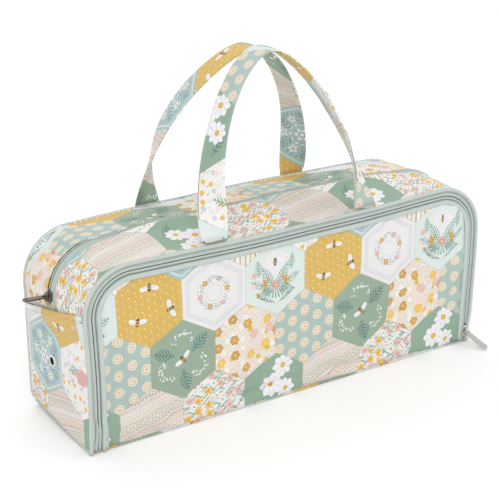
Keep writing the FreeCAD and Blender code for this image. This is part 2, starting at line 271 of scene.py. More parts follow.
class Print:
    """Colour built up in layers, as ink is on cloth."""

    def __init__(self, tree, base):
        self.tree = tree
        self.colour = base

    def over(self, colour, mask):
        node = self.tree.nodes.new("ShaderNodeMix")
        node.data_type = "RGBA"
        self.tree.links.new(mask.socket, node.inputs[0])
        for socket, value in ((node.inputs[6], self.colour), (node.inputs[7], colour)):
            if isinstance(value, tuple):
                socket.default_value = value
            else:
                self.tree.links.new(value, socket)
        self.colour = node.outputs[2]
        return self


def choice(field, colours):
    """One of several colours by a random number."""
    ramp = field.tree.nodes.new("ShaderNodeValToRGB")
    ramp.color_ramp.interpolation = "CONSTANT"
    stops = ramp.color_ramp.elements
    while len(stops) < len(colours):
        stops.new(0.5)
    for i, colour in enumerate(colours):
        stops[i].position = i / len(colours)
    for i, colour in enumerate(colours):
        stops[i].color = colour
    field.tree.links.new(field.socket, ramp.inputs[0])
    return ramp.outputs[0]


# ---------------------------------------------------------------- printed patches
yellow = srgb(223, 185, 97)
pale_yellow = srgb(250, 226, 158)
gold = srgb(216, 158, 52)
bright_gold = srgb(243, 196, 84)
dark_gold = srgb(200, 146, 66)
bee_dark = srgb(84, 76, 70)
white = srgb(246, 244, 240)
off_white = srgb(238, 237, 236)
lilac_grey = srgb(214, 214, 222)
cream = srgb(245, 236, 220)
pale_green = srgb(226, 236, 231)
teal = srgb(178, 198, 192)
ring_cream = srgb(244, 233, 206)
ring_brown = srgb(214, 178, 138)
sage = srgb(157, 177, 154)
leaf_green = srgb(150, 178, 156)
fern_dark = srgb(100, 142, 134)
fern = srgb(132, 172, 158)
deep_teal = srgb(86, 130, 132)
lace_sand = srgb(180, 172, 142)
lace_ground = srgb(226, 217, 197)
warm_white = srgb(240, 233, 219)
rose = srgb(236, 190, 188)
deep_rose = srgb(222, 158, 154)
pale_rose = srgb(246, 220, 214)
folk_blue = srgb(180, 203, 203)
folk_dark = srgb(132, 164, 170)
petal_white = srgb(247, 245, 248)
daisy_gold = srgb(233, 203, 62)
stem_grey = srgb(156, 172, 164)


def bee(ink, spot):
    """A small bee with spread wings, its head along +x."""
    wings = Spot(spot.x, abs(spot.y)).moved(0.6, 4.6).turned(-16.0)
    ink.over(petal_white, oval(wings, 2.1, 4.2))
    ink.over(lilac_grey, both(oval(wings.moved(-0.5, -0.8), 0.7, 2.6), cover(sine(wings.y * 4.0))))
    ink.over(bee_dark, oval(spot, 4.0, 1.7))
    stripes = cover(sine(spot.x * 2.9))
    ink.over(bright_gold, both(stripes, oval(spot.moved(-0.6, 0.0), 2.9, 1.3)))


def yellow_patch(ink, spot, edge):
    ink.over(pale_yellow, disc(spot.turned(30.0).tiled(6.6, 6.6), 0.75, 0.9))
    ink.over(pale_yellow, disc(spot.turned(30.0).moved(3.3, 3.3).tiled(6.6, 6.6), 0.5, 0.9) * 0.7)
    for across, up, turn in ((1.0, 18.0, -90.0), (20.0, -5.0, 20.0), (-11.0, -11.0, 80.0)):
        bee(ink, spot.moved(across, up).turned(turn))


def wreath_patch(ink, spot, edge):
    ink.over(lilac_grey, cover(1.6 - abs(edge - 5.6), 1.2) * 0.35)
    ink.over(lilac_grey, cover(0.4 - abs(edge - 4.2)) * 0.7)
    ink.over(lilac_grey, cover(0.3 - abs(edge - 7.2)) * 0.7)
    specks, lot = spot.scattered(1.9, 0.9)
    leaves = both(oval(specks.turned(30.0), 0.75, 0.35), cover(lot - 0.35, 0.1), ring(spot, 13.4, 3.2))
    ink.over(fern_dark, leaves)
    ink.over(stem_grey, ring(spot, 13.4, 0.25) * 0.7)
    flower = spot.fanned(3, 10.0, 13.4)
    ink.over(gold, blossom(flower, 5, 2.4, 0.2))
    ink.over(pale_yellow, disc(flower, 0.8))
    flower = spot.fanned(3, 68.0, 13.4)
    ink.over(deep_rose, blossom(flower, 5, 2.0, 0.3))
    ink.over(white, disc(flower, 0.7))
    ink.over(lilac_grey, ring(spot, 7.6, 0.4) * 0.8)


def bee_garden_patch(ink, spot, edge):
    half = spot.mirrored()
    ink.over(off_white, disc(spot.moved(0.0, 13.0), 12.0, 5.0))
    ink.over(fern, frond(half.moved(2.0, -10.0).turned(62.0), 26.0, 5.0, 3.0))
    ink.over(fern, frond(half.moved(4.0, -12.0).turned(30.0), 25.0, 4.6, 2.8))
    ink.over(fern_dark, frond(half.moved(3.0, -13.0).turned(-8.0), 18.0, 4.2, 2.6))
    ink.over(fern, both(cover(sine(spot.moved(0.0, -4.0).angle() * 26.0) - 0.3),
                        ring(spot.moved(0.0, -4.0), 11.0, 5.0), cover(-8.0 - spot.y, 2.0)))
    ink.over(fern_dark, frond(half.moved(2.0, -24.0).turned(24.0), 17.0, 1.9, 2.2))
    ink.over(fern, frond(half.moved(17.0, 4.0).turned(84.0), 16.0, 3.4, 2.6))
    ink.over(petal_white, blossom(half.moved(12.0, 17.0), 5, 2.2, 0.25))
    ink.over(bright_gold, disc(half.moved(12.0, 17.0), 0.8))
    ink.over(petal_white, both(disc(half.scattered(3.1, 0.8)[0], 0.6, 0.5),
                               ring(spot.moved(0.0, -6.0), 17.0, 3.4)))
    ink.over(rose, blossom(spot.moved(-22.0, 6.0), 5, 3.0, 0.2))
    ink.over(pale_rose, blossom(spot.moved(-24.0, -4.0), 5, 2.6, 0.2))
    ink.over(gold, blossom(spot.moved(-19.0, -13.0), 6, 1.8, 0.3))
    ink.over(gold, both(blossom(half.moved(9.0, -5.0), 7, 4.6, 0.5),
                        cover(half.x - 7.0 + spot.y * 0.4)))
    ink.over(deep_rose, blossom(spot.moved(0.0, -7.0), 9, 3.8, 0.45))
    ink.over(pale_yellow, disc(spot.moved(0.0, -7.0), 1.0))
    bee(ink, spot.moved(0.0, 15.0).turned(90.0))


def ring_patch(ink, spot, edge):
    dot = Spot(spot.y, spot.x).tiled(15.8, 13.7)
    ink.over(ring_cream, blossom(dot, 14, 4.7, 0.05))
    ink.over(ring_brown, ring(dot, 2.9, 0.4))
    ink.over(white, disc(dot, 2.3))
    ink.over(ring_brown, disc(dot, 1.2, 0.8))


def fern_patch(ink, spot, edge):
    ink.over(deep_teal, frond(spot.fanned(3, 30.0, 10.0).turned(14.0), 21.0, 6.0, 3.4))
    arc = spot.fanned(3, 90.0, 16.0)
    sprig = both(ring(arc, 8.5, 2.6), cover(arc.x + 1.0))
    ink.over(white, both(disc(spot.scattered(2.9)[0], 1.0, 0.4), sprig))
    ink.over(fern, both(disc(spot.scattered(2.2)[0], 0.5, 0.4), ring(arc, 8.5, 3.4)))
    bee(ink, spot.turned(130.0))


def gold_flower_patch(ink, spot, edge):
    ink.over(stem_grey, both(disc(spot.tiled(3.0, 2.6), 0.5), cover(2.8 - edge)))
    ink.over(pale_rose, both(disc(spot.tiled(1.9, 1.9), 0.55), cover(cosine(spot.y * 0.16 + 1.0) - 0.2)))
    small, lot = spot.scattered(4.4, 0.9)
    ink.over(choice(lot, (pale_rose, pale_yellow, pale_green, white)), disc(small, 0.9))
    ink.over(stem_grey, both(cover(sine(small.angle() * 3.0) - 0.8), ring(small, 1.7, 0.5)) * 0.7)
    middling, lot = spot.moved(3.0, 1.0).scattered(9.5, 0.7)
    ink.over(choice(lot, (bright_gold, white, pale_rose, white)), blossom(middling, 6, 2.6, 0.12))
    ink.over(gold, both(disc(middling, 0.8), cover(0.25 - lot, 0.02)))
    big, lot = spot.scattered(16.0, 0.6)
    ink.over(choice(lot, (gold, dark_gold, bright_gold, rose)), blossom(big, 6, 4.3, 0.12))
    ink.over(pale_yellow, both(cover(cosine(big.angle() * 6.0) - 0.3, 0.5), ring(big, 2.3, 0.9)) * 0.6)
    ink.over(pale_yellow, disc(big, 0.9))


def daisy_patch(ink, spot, edge):
    ink.over(fern_dark, frond(spot.moved(10.0, -22.0).turned(60.0), 26.0, 4.0, 4.5))
    daisy = spot.moved(-3.0, 5.0)
    second = spot.moved(8.0, 22.0)
    third = spot.moved(12.0, -2.0)
    for flower, size in ((third, 9.0), (daisy, 11.0), (second, 10.5)):
        ink.over(petal_white, blossom(flower, 8, size, 0.12))
        ink.over(lilac_grey, both(cover(cosine(flower.angle() * 8.0 + math.pi) - 0.9, 0.2),
                                  ring(flower, size * 0.62, size * 0.26)))
        ink.over(daisy_gold, disc(flower, size * 0.27, 0.9))
        ink.over(gold, ring(flower, size * 0.20, 0.4))


def lace_patch(ink, spot, edge):
    line = spot.turned(14.0)
    ink.over(off_white, cover(sine(line.y * 0.375 + 0.4) - 0.35, 0.5) * 0.8)
    ink.over(lace_sand, both(cover(sine(line.y * 0.21 + 0.6), 0.5), disc(line.tiled(1.7, 1.7), 0.75)))
    ink.over(pale_rose, cover(sine(line.y * 0.75) - 0.80, 0.3))
    ink.over(rose, cover(sine(line.y * 0.25 + 2.0) - 0.985, 0.02))
    ink.over(deep_rose, disc(line.tiled(2.6, 8.4), 0.55))
    ink.over(off_white, ring(line.moved(0.0, 1.9).tiled(4.2, 4.2), 1.4, 0.35))
    ink.over(stem_grey, disc(line.moved(1.0, 2.6).tiled(3.1, 8.4), 0.55))
    ink.over(bright_gold, disc(line.moved(0.0, 4.4).tiled(3.7, 8.4), 0.55))
    lace = line.moved(0.0, 8.0).tiled(7.4, 25.2)
    ink.over(white, disc(lace, 3.4))
    ink.over(lace_sand, ring(lace, 2.5, 0.35))
    ink.over(lace_sand, both(cover(cosine(lace.angle() * 8.0) - 0.2), ring(lace, 1.3, 0.6)))


def bouquet_patch(ink, spot, edge):
    lean = spot.turned(38.0)
    blades, lot = Spot(lean.x * 0.34, lean.y).scattered(2.5)
    ink.over(choice(lot, (fern, stem_grey, leaf_green, pale_green)), oval(blades, 1.35, 0.6))
    cross = spot.turned(-20.0)
    blades, lot = Spot(cross.x * 0.34, cross.y).scattered(3.4)
    ink.over(choice(lot, (leaf_green, white, pale_rose, stem_grey)), oval(blades, 1.5, 0.6))
    blooms, lot = spot.scattered(10.0, 0.9)
    ink.over(choice(lot, (white, bright_gold, rose, white)), blossom(blooms, 7, 3.5, 0.3))
    ink.over(gold, disc(blooms, 1.0))


def rose_patch(ink, spot, edge):
    blooms, lot = spot.scattered(8.0, 0.8)
    ink.over(choice(lot, (pale_rose, pale_green, bright_gold, lilac_grey)),
             blossom(blooms, 5, 2.1, 0.18))
    sprays, lot = spot.moved(2.0, 3.0).scattered(5.2, 0.9)
    ink.over(choice(lot, (stem_grey, lilac_grey, pale_rose, white)),
             oval(sprays.turned(50.0), 1.9, 0.35))
    ink.over(fern, frond(spot.mirrored().moved(4.0, -8.0).turned(20.0), 16.0, 4.0, 3.4))
    flower = spot.moved(0.0, -2.0)
    ink.over(rose, blossom(flower, 7, 8.0, 0.07))
    ink.over(deep_rose, both(cover(sine(flower.far() * 2.1 + flower.angle() * 2.0) - 0.3),
                             disc(flower, 7.0)))


def folk_patch(ink, spot, edge):
    ink.over(pale_green, cover(0.6 - abs(edge - 3.0)))
    ink.over(folk_dark, frond(spot.fanned(6, 30.0, 9.0), 20.0, 5.0, 4.0))
    ink.over(white, both(ring(spot, 11.5, 0.9), cover(cosine(spot.angle() * 12.0))))
    ink.over(pale_green, blossom(spot.fanned(6, 0.0, 19.0), 5, 3.6, 0.3))
    ink.over(gold, disc(spot.fanned(6, 0.0, 19.0), 1.2))
    ink.over(folk_dark, both(cover(sine(spot.angle() * 30.0) - 0.1), ring(spot, 24.5, 1.6),
                             cover(edge - 4.5)) * 0.6)
    ink.over(white, both(disc(spot.scattered(2.4, 0.8)[0], 0.45, 0.4), ring(spot, 17.0, 4.0)) * 0.8)
    ink.over(white, blossom(spot, 6, 6.0, 0.3))
    ink.over(folk_dark, ring(spot, 3.0, 0.6))


def sprig_stripe_patch(ink, spot, edge):
    stripe = Spot(spot.y, spot.x)
    ink.over(white, cover(sine(stripe.y * 0.6), 0.8))
    ink.over(rose, cover(sine(stripe.y * 0.6 + 1.57) - 0.93, 0.2))
    ink.over(fern, oval(stripe.tiled(4.4, 5.236), 1.3, 0.6))
    ink.over(gold, disc(stripe.moved(2.2, 0.0).tiled(4.4, 5.236), 0.8))


# rows downwards from the row that holds the yellow patches; each row repeats its three patches
patch_rows = (((bee_garden_patch, pale_green), (yellow_patch, yellow), (wreath_patch, off_white)),
              ((ring_patch, teal), (fern_patch, sage), (gold_flower_patch, warm_white)),
              ((daisy_patch, leaf_green), (lace_patch, lace_ground), (bouquet_patch, white)),
              ((rose_patch, white), (folk_patch, folk_blue), (sprig_stripe_patch, cream)))


def hexagon_cells(u, v):
    """The nearest patch: its middle's coordinates, the distance to its edge, its column and its row."""
    row_step = math.sqrt(3.0)
    even_column = nearest(u)
    even_row = nearest(v / row_step)
    odd_column = nearest(u - 0.5)
    odd_row = nearest(v / row_step - 0.5)
    even = Spot(u - even_column, v - even_row * row_step)
    odd = Spot(u - 0.5 - odd_column, v - (odd_row + 0.5) * row_step)
    pick = calc("LESS_THAN", odd.far(), even.far())

    def picked(first, second):
        return first + pick * (second - first)

    x = picked(even.x, odd.x)
    y = picked(even.y, odd.y)
    side = abs(x)
    reach = calc("MAXIMUM", side, side * 0.5 + abs(y) * (0.5 * row_step))
    edge = (0.5 - reach) * hex_width
    column = picked(even_column, odd_column)
    row = picked(even_row * 2.0, odd_row * 2.0 + 1.0)
    return Spot(x * hex_width, y * hex_width), edge, column, row


def cloth_coordinates(tree):
    node = tree.nodes.new("ShaderNodeUVMap")
    node.uv_map = "cloth"
    split = tree.nodes.new("ShaderNodeSeparateXYZ")
    tree.links.new(node.outputs[0], split.inputs[0])
    return node.outputs[0], Field(tree, split.outputs[0]), Field(tree, split.outputs[1])


def patchwork_group():
    """Node group: cloth coordinates in metres to the colour of the patchwork print."""
    tree = bpy.data.node_groups.new("patchwork", "ShaderNodeTree")
    tree.interface.new_socket("Colour", in_out="OUTPUT", socket_type="NodeSocketColor")
    outside = tree.nodes.new("NodeGroupOutput")
    u, v = cloth_coordinates(tree)[1:]
    scale = 1.0 / (hex_width * mm)
    spot, edge, column, row = hexagon_cells(u * scale, v * scale)
    column = calc("FLOORED_MODULO", column + 0.5, 3.0) - 0.5
    row = calc("FLOORED_MODULO", 0.5 - row, 4.0) - 0.5
    columns = [is_number(column, i) for i in range(3)]
    ink = Print(tree, cream)
    for r, patches in enumerate(patch_rows):
        in_row = is_number(row, r)
        for c, (draw, ground) in enumerate(patches):
            patch = Print(tree, ground)
            draw(patch, spot, edge)
            ink.over(patch.colour, in_row * columns[c])
    ink.over(stem_grey, cover(0.28 - edge, 0.4) * 0.45)
    tree.links.new(ink.colour, outside.inputs[0])
    return tree


# ---------------------------------------------------------------- materials
def new_material(name, settings):
    """A material whose shader has the given settings of its own."""
    material = bpy.data.materials.new(name)
    material.use_nodes = True
    tree = material.node_tree
    shader = tree.nodes["Principled BSDF"]
    for socket, value in settings.items():
        shader.inputs[socket].default_value = value
    return material, tree, shader


def noise_field(tree, vector, scale, detail=3.0):
    node = tree.nodes.new("ShaderNodeTexNoise")
    node.inputs["Scale"].default_value = scale
    node.inputs["Detail"].default_value = detail
    tree.links.new(vector, node.inputs["Vector"])
    return Field(tree, node.outputs[0])


def weave_height(u, v, pitch):
    """Over-and-under threads of a plain weave."""
    turn = math.pi / pitch
    over = abs(sine(u * turn))
    under = abs(sine(v * turn))
    sign = cover(sine(u * turn) * sine(v * turn), 0.6)
    return over * sign + under * (1.0 - sign)


def add_bump(tree, shader, height, distance, strength=1.0):
    bump = tree.nodes.new("ShaderNodeBump")
    bump.inputs["Strength"].default_value = strength
    bump.inputs["Distance"].default_value = distance
    tree.links.new(height.socket, bump.inputs["Height"])
    tree.links.new(bump.outputs[0], shader.inputs["Normal"])


def shade_colour(tree, shader, colour, factor):
    """Multiplies a colour by a number that varies, and gives it to the shader."""
    node = tree.nodes.new("ShaderNodeVectorMath")
    node.operation = "SCALE"
    if isinstance(colour, tuple):
        node.inputs[0].default_value = colour[:3]
    else:
        tree.links.new(colour, node.inputs[0])
    tree.links.new(factor.socket, node.inputs["Scale"])
    tree.links.new(node.outputs[0], shader.inputs["Base Color"])


def printed_cloth(group):
    """Printed cotton with a thin clear coating: fine weave, faint fading and creases."""
    material, tree, shader = new_material("printed_cloth", {
        "Specular IOR Level": 0.38, "Sheen Weight": 0.10, "Sheen Roughness": 0.5})
    where, u, v = cloth_coordinates(tree)
    inner = tree.nodes.new("ShaderNodeGroup")
    inner.node_tree = group
    weave = weave_height(u, v, 0.55 * mm)
    fading = noise_field(tree, where, 26.0)
    grain = noise_field(tree, where, 900.0, 2.0)
    shade_colour(tree, shader, inner.outputs[0], 0.74 + fading * 0.10 + weave * 0.05 + grain * 0.06)
    tree.links.new((0.56 + grain * 0.2 - weave * 0.06).socket, shader.inputs["Roughness"])
    add_bump(tree, shader, weave * 0.5 + grain * 0.5 + fading, 0.12 * mm, 0.6)
    return material


def plain_cloth(name, colour, pitch, rib=0.0):
    """Woven cloth of one dye lot; rib adds raised cords along the cloth."""
    material, tree, shader = new_material(name, {
        "Specular IOR Level": 0.3, "Sheen Weight": 0.15, "Sheen Roughness": 0.4})
    where, u, v = cloth_coordinates(tree)
    weave = weave_height(u, v, pitch)
    mottle = noise_field(tree, where, 60.0)
    grain = noise_field(tree, where, 1400.0, 2.0)
    height = weave
    if rib:
        height = height * 0.6 + abs(sine(v * (math.pi / rib)))
    shade_colour(tree, shader, colour, 0.80 + mottle * 0.14 + weave * 0.10 + grain * 0.12)
    tree.links.new((0.65 + grain * 0.2).socket, shader.inputs["Roughness"])
    add_bump(tree, shader, height + grain * 0.5, 0.15 * mm, 0.7)
    return material


def object_coordinates(tree):
    return tree.nodes.new("ShaderNodeTexCoord").outputs["Object"]


def nylon(name, colour):
    """Moulded zip teeth: smooth, slightly waxy."""
    material, tree, shader = new_material(name, {})
    where = object_coordinates(tree)
    mottle = noise_field(tree, where, 400.0)
    scuff = noise_field(tree, where, 2500.0, 4.0)
    shade_colour(tree, shader, colour, 0.82 + mottle * 0.2 + scuff * 0.14)
    tree.links.new((0.34 + scuff * 0.22).socket, shader.inputs["Roughness"])
    add_bump(tree, shader, scuff, 0.03 * mm, 0.4)
    return material


def plated(name, colour, rough):
    """Plated die casting with fine polishing lines, fingermarks and rubbed high spots."""
    material, tree, shader = new_material(name, {"Metallic": 1.0})
    where = object_coordinates(tree)
    smear = noise_field(tree, where, 180.0)
    scratch = noise_field(tree, where, 5200.0, 5.0)
    shade_colour(tree, shader, colour, 0.84 + smear * 0.16 + scratch * 0.12)
    tree.links.new((rough + smear * 0.14 + scratch * 0.08).socket, shader.inputs["Roughness"])
    add_bump(tree, shader, scratch + smear, 0.02 * mm, 0.5)
    return material


def enamel():
    """Cream enamelled brass of the eyelet, with painted shade inside its hole."""
    material, tree, shader = new_material("eyelet_enamel", {"Coat Weight": 0.3, "Coat Roughness": 0.15})
    where = object_coordinates(tree)
    mottle = noise_field(tree, where, 300.0)
    speck = noise_field(tree, where, 3000.0, 3.0)
    offset = tree.nodes.new("ShaderNodeSeparateXYZ")
    tree.links.new(where, offset.inputs[0])
    across = Field(tree, offset.outputs[1])
    up = Field(tree, offset.outputs[2]) - eyelet_z
    from_axis = calc("SQRT", across * across + up * up, 0.0)
    # painted shade: the colour falls to 7 percent within 3.9 mm of the eyelet's axis, where the hole's
    # wall lies in shadow
    painted_bore_shade = 1.0 - 0.93 * cover((3.9 * mm - from_axis) * 2000.0)
    shade_colour(tree, shader, srgb(240, 238, 230), (0.88 + mottle * 0.10 + speck * 0.06) * painted_bore_shade)
    tree.links.new((0.24 + speck * 0.18).socket, shader.inputs["Roughness"])
    add_bump(tree, shader, speck, 0.02 * mm, 0.3)
    return material


def stage_material():
    material, tree, shader = new_material("studio_floor", {
        "Roughness": 0.9, "Specular IOR Level": 0.0})
    where = object_coordinates(tree)
    mottle = noise_field(tree, where, 3.0)
    shade_colour(tree, shader, (0.96, 0.96, 0.965, 1.0), 0.985 + mottle * 0.02)
    return material


print_group = patchwork_group()
finish = {
    "printed_cloth": printed_cloth(print_group),
    "lining_cloth": plain_cloth("lining_cloth", srgb(226, 224, 214), 0.4 * mm),
    "zip_tape": plain_cloth("zip_tape", srgb(184, 194, 188), 0.5 * mm, rib=1.1 * mm),
    "piping_cord": plain_cloth("piping_cord", srgb(194, 203, 197), 0.45 * mm),
    # the coil's colour is partly its own and partly painted shade: it is set darker so that the split
    # between the tape halves shows as a dark line
    "zip_coil": nylon("zip_coil", srgb(134, 146, 140)),
    "bright_nickel": plated("bright_nickel", srgb(206, 204, 198), 0.20),
    "dark_nickel": plated("dark_nickel", srgb(112, 104, 98), 0.24),
    "eyelet_enamel": enamel(),
    "thread": plain_cloth("thread", srgb(206, 214, 206), 0.3 * mm),
}


# ---------------------------------------------------------------- the bag at rest, settled
def smooth_step(low, high, value):
    share = min(1.0, max(0.0, (value - low) / (high - low)))
    return share * share * (3.0 - 2.0 * share)


def settle(point):
    """Moves a point of the ideal bag to where the soft bag lets it hang."""
    x, y, z = point
    front = smooth_step(half_depth, -half_depth, y)
    back = 1.0 - front
    top = smooth_step(90 * mm, seam_height, z)
    right = smooth_step(150 * mm, half_length, x)
    left = smooth_step(150 * mm, half_length, -x)
    span = 1.0 - min(1.0, abs(x) / corner_x) ** 2
    dx = right * 2.0 * mm * math.exp(-((z - 100 * mm) / (48 * mm)) ** 2) * (0.5 + 0.5 * front)
    dx += left * 1.6 * mm * math.sin(z / (38 * mm)) * front
    ripple = math.sin(x / (31 * mm) + 0.7) * math.cos(x / (57 * mm))
    dz = top * (front * (-3.2 * mm * span) + back * (2.4 * mm * span))
    dz += top * 0.9 * mm * ripple * (1.0 - abs(front - 0.5))
    dy = 0.7 * mm * ripple * smooth_step(0.0, 60 * mm, z) * (1.0 - top)
    return Vector((x + dx, y + dy, z + dz))


def softness(point, size, seed, depth):
    """Soft dents, the same at every run."""
    return noise.noise(Vector(point) / size + Vector((seed, 2.0 * seed, 0.0))) * depth


def outline(run):
    """A point of the front outline and its outward direction, run metres up from the left foot."""
    side = corner_z
    arc = corner_radius * math.pi / 2.0
    level = 2.0 * corner_x
    if run < side:
        return -half_length, run, -1.0, 0.0
    run -= side
    if run < arc:
        a = run / corner_radius
        return (-corner_x - corner_radius * math.cos(a), corner_z + corner_radius * math.sin(a),
                -math.cos(a), math.sin(a))
    run -= arc
    if run < level:
        return -corner_x + run, seam_height, 0.0, 1.0
    run -= level
    if run < arc:
        a = run / corner_radius
        return (corner_x + corner_radius * math.sin(a), corner_z + corner_radius * math.cos(a),
                math.sin(a), math.cos(a))
    run -= arc
    return half_length, corner_z - run, 1.0, 0.0


outline_length = 2.0 * corner_z + corner_radius * math.pi + 2.0 * corner_x


def narrowed(run, drawn_in):
    """The zip's outer half is squeezed where it runs down behind the closed slider."""
    left_over = outline_length - run
    squeeze = 0.62 * (1.0 - smooth_step(0.0, 34 * mm, left_over))
    return zip_line - (zip_line - drawn_in) * (1.0 - squeeze) if drawn_in < zip_line else drawn_in


def on_outline(run, drawn_in, y):
    x, z, nx, nz = outline(run)
    drawn_in = narrowed(run, drawn_in)
    z = max(z - nz * drawn_in, 0.3 * mm)
    return Vector((x - nx * drawn_in, y, z))


# ---------------------------------------------------------------- mesh building
forward = Vector((0.0, -1.0, 0.0))     # the way the flap faces


def placed(name, data):
    """A new object in the scene."""
    thing = bpy.data.objects.new(name, data)
    bpy.context.scene.collection.objects.link(thing)
    return thing


def make_object(name, vertices, faces, uvs, material):
    """uvs holds one cloth coordinate for each vertex; nothing sinks into the table."""
    mesh = bpy.data.meshes.new(name)
    mesh.from_pydata([(x, y, max(z, table_gap)) for x, y, z in vertices], [], faces)
    layer = mesh.uv_layers.new(name="cloth")
    for loop in mesh.loops:
        layer.data[loop.index].uv = uvs[loop.vertex_index]
    for polygon in mesh.polygons:
        polygon.use_smooth = True
    mesh.materials.append(material)
    return placed(name, mesh)


def grid_faces(columns, rows, closed=False):
    """Quads between the points of a grid, which may close on itself across."""
    faces = []
    wide = columns if closed else columns - 1
    for j in range(rows - 1):
        for i in range(wide):
            a = j * columns + i
            b = j * columns + (i + 1) % columns
            faces.append((a, b, b + columns, a + columns))
    return faces


def rim_faces(columns, rows):
    """Joins the border of a grid to the border of a second one that follows it."""
    count = columns * rows
    border = (list(range(columns))
              + [j * columns + columns - 1 for j in range(1, rows)]
              + [(rows - 1) * columns + i for i in range(columns - 2, -1, -1)]
              + [j * columns for j in range(rows - 2, 0, -1)])
    return [(b, a, a + count, b + count) for a, b in zip(border, border[1:] + border[:1])]


def tube_faces(columns, rows):
    """A closed tube of rings of vertices, with a flat cap on each end."""
    last = (rows - 1) * columns
    return (grid_faces(columns, rows, closed=True)
            + [tuple(range(columns - 1, -1, -1)), tuple(range(last, last + columns))])


def surface_normals(points, columns, rows):
    """Normals of a grid of points, from its neighbours."""
    normals = []
    for j in range(rows):
        for i in range(columns):
            right = points[j * columns + min(i + 1, columns - 1)]
            left = points[j * columns + max(i - 1, 0)]
            above = points[min(j + 1, rows - 1) * columns + i]
            below = points[max(j - 1, 0) * columns + i]
            normal = (right - left).cross(above - below)
            normals.append(normal.normalized() if normal.length > 0 else Vector((0.0, 0.0, 1.0)))
    return normals


def relaxed(points, columns, rows, slack, cap):
    """Lets a grid of cloth with a little slack settle under its own weight between its pinned edges."""
    mesh = bpy.data.meshes.new("settling")
    mesh.from_pydata([tuple(p) for p in points], [], grid_faces(columns, rows))
    piece = placed("settling", mesh)
    group = piece.vertex_groups.new(name="pinned")
    for j in range(rows):
        for i in range(columns):
            gap = min(i, columns - 1 - i, j, rows - 1 - j)
            weight = 1.0 if gap < 1 else max(0.0, 0.6 - 0.3 * gap)
            if weight > 0:
                group.add([j * columns + i], weight, "REPLACE")
    cloth = piece.modifiers.new("cloth", "CLOTH")
    cloth.settings.quality = 6
    cloth.settings.mass = 0.25
    cloth.settings.tension_stiffness = 30.0
    cloth.settings.compression_stiffness = 30.0
    cloth.settings.shear_stiffness = 12.0
    cloth.settings.bending_stiffness = 2.5
    cloth.settings.vertex_group_mass = "pinned"
    cloth.settings.shrink_min = -slack
    cloth.settings.use_pressure = False
    cloth.point_cache.frame_start = 1
    cloth.point_cache.frame_end = 24
    scene = bpy.context.scene
    for step in range(1, 25):
        scene.frame_set(step)
    graph = bpy.context.evaluated_depsgraph_get()
    settled = piece.evaluated_get(graph).to_mesh()
    result = []
    for before, vertex in zip(points, settled.vertices):
        shift = vertex.co - before
        if shift.length > cap:
            shift *= cap / shift.length
        result.append(before + shift)
    piece.evaluated_get(graph).to_mesh_clear()
    bpy.data.objects.remove(piece)
    scene.frame_set(1)
    return result


grids = {}


def panel(name, columns, rows, place, uv, thickness, material, inward, slack=0.0, cap=3 * mm,
          held_back=None):
    """A thick cloth panel: place(a, b) gives its outer face over shares 0 to 1; inward thickens it.

    The rim is rounded, and the back face gets the same cloth coordinates.  With slack, the cloth
    settles by up to the cap; held_back moves the settled points.
    """
    rounding = 0.35 * inward * thickness
    points = []
    uvs = []
    for j in range(rows):
        for i in range(columns):
            a = i / (columns - 1)
            b = j / (rows - 1)
            points.append(settle(place(a, b)))
            uvs.append(uv(a, b))
    if slack:
        points = relaxed(points, columns, rows, slack, cap)
    if held_back:
        points = [held_back(point) for point in points]
    normals = surface_normals(points, columns, rows)
    grids[name] = (points, normals, columns, rows)
    face = list(points)
    back = [p + n * (inward * thickness) for p, n in zip(points, normals)]
    rim = rim_faces(columns, rows)
    for k in [corners[0] for corners in rim]:
        shift = normals[k] * rounding
        face[k] = points[k] + shift
        back[k] = back[k] - shift
    outer = grid_faces(columns, rows)
    inner = [tuple(len(points) + k for k in reversed(f)) for f in outer]
    faces = outer + inner + rim
    if inward > 0:
        faces = [tuple(reversed(f)) for f in faces]
    return make_object(name, face + back, faces, uvs + uvs, material)


def sweep(name, centres, frames, section, material, uv_of=None):
    """A closed section swept along centres; frames give the two axes at each centre."""
    columns = len(section)
    vertices = []
    uvs = []
    run = 0.0
    for k, centre in enumerate(centres):
        if k:
            run += (centre - centres[k - 1]).length
        first, second = frames[k]
        around = 0.0
        for m, (a, b) in enumerate(section):
            if m:
                around += math.hypot(a - section[m - 1][0], b - section[m - 1][1])
            vertices.append(centre + first * a + second * b)
            uvs.append(uv_of(run, a, b) if uv_of else (run, around))
    return make_object(name, vertices, tube_faces(columns, len(centres)), uvs, material)


def flat_section(width, height, corner, steps=3):
    """A rounded rectangle about the middle."""
    points = []
    corner = min(corner, 0.49 * width, 0.49 * height)
    for cx, cy, first in ((1, 1, 0.0), (-1, 1, 90.0), (-1, -1, 180.0), (1, -1, 270.0)):
        for k in range(steps + 1):
            angle = math.radians(first + 90.0 * k / steps)
            points.append((cx * (0.5 * width - corner) + corner * math.cos(angle),
                           cy * (0.5 * height - corner) + corner * math.sin(angle)))
    return points


def frames_along(centres, up):
    """Axes across a path: the first points sideways, the second along up, one vector or one a centre."""
    frames = []
    for k in range(len(centres)):
        before = centres[max(k - 1, 0)]
        after = centres[min(k + 1, len(centres) - 1)]
        along = (after - before).normalized()
        lift = up if isinstance(up, Vector) else up[k]
        lift = (lift - along * lift.dot(along)).normalized()
        frames.append((along.cross(lift), lift))
    return frames


def joined(name, parts, material, slant=1.0):
    """One mesh from many small islands of (vertices, faces)."""
    vertices = []
    faces = []
    for points, polygons in parts:
        base = len(vertices)
        vertices.extend(points)
        faces.extend(tuple(base + k for k in polygon) for polygon in polygons)
    uvs = [(v.x + slant * v.y, v.z) for v in vertices]
    return make_object(name, vertices, faces, uvs, material)


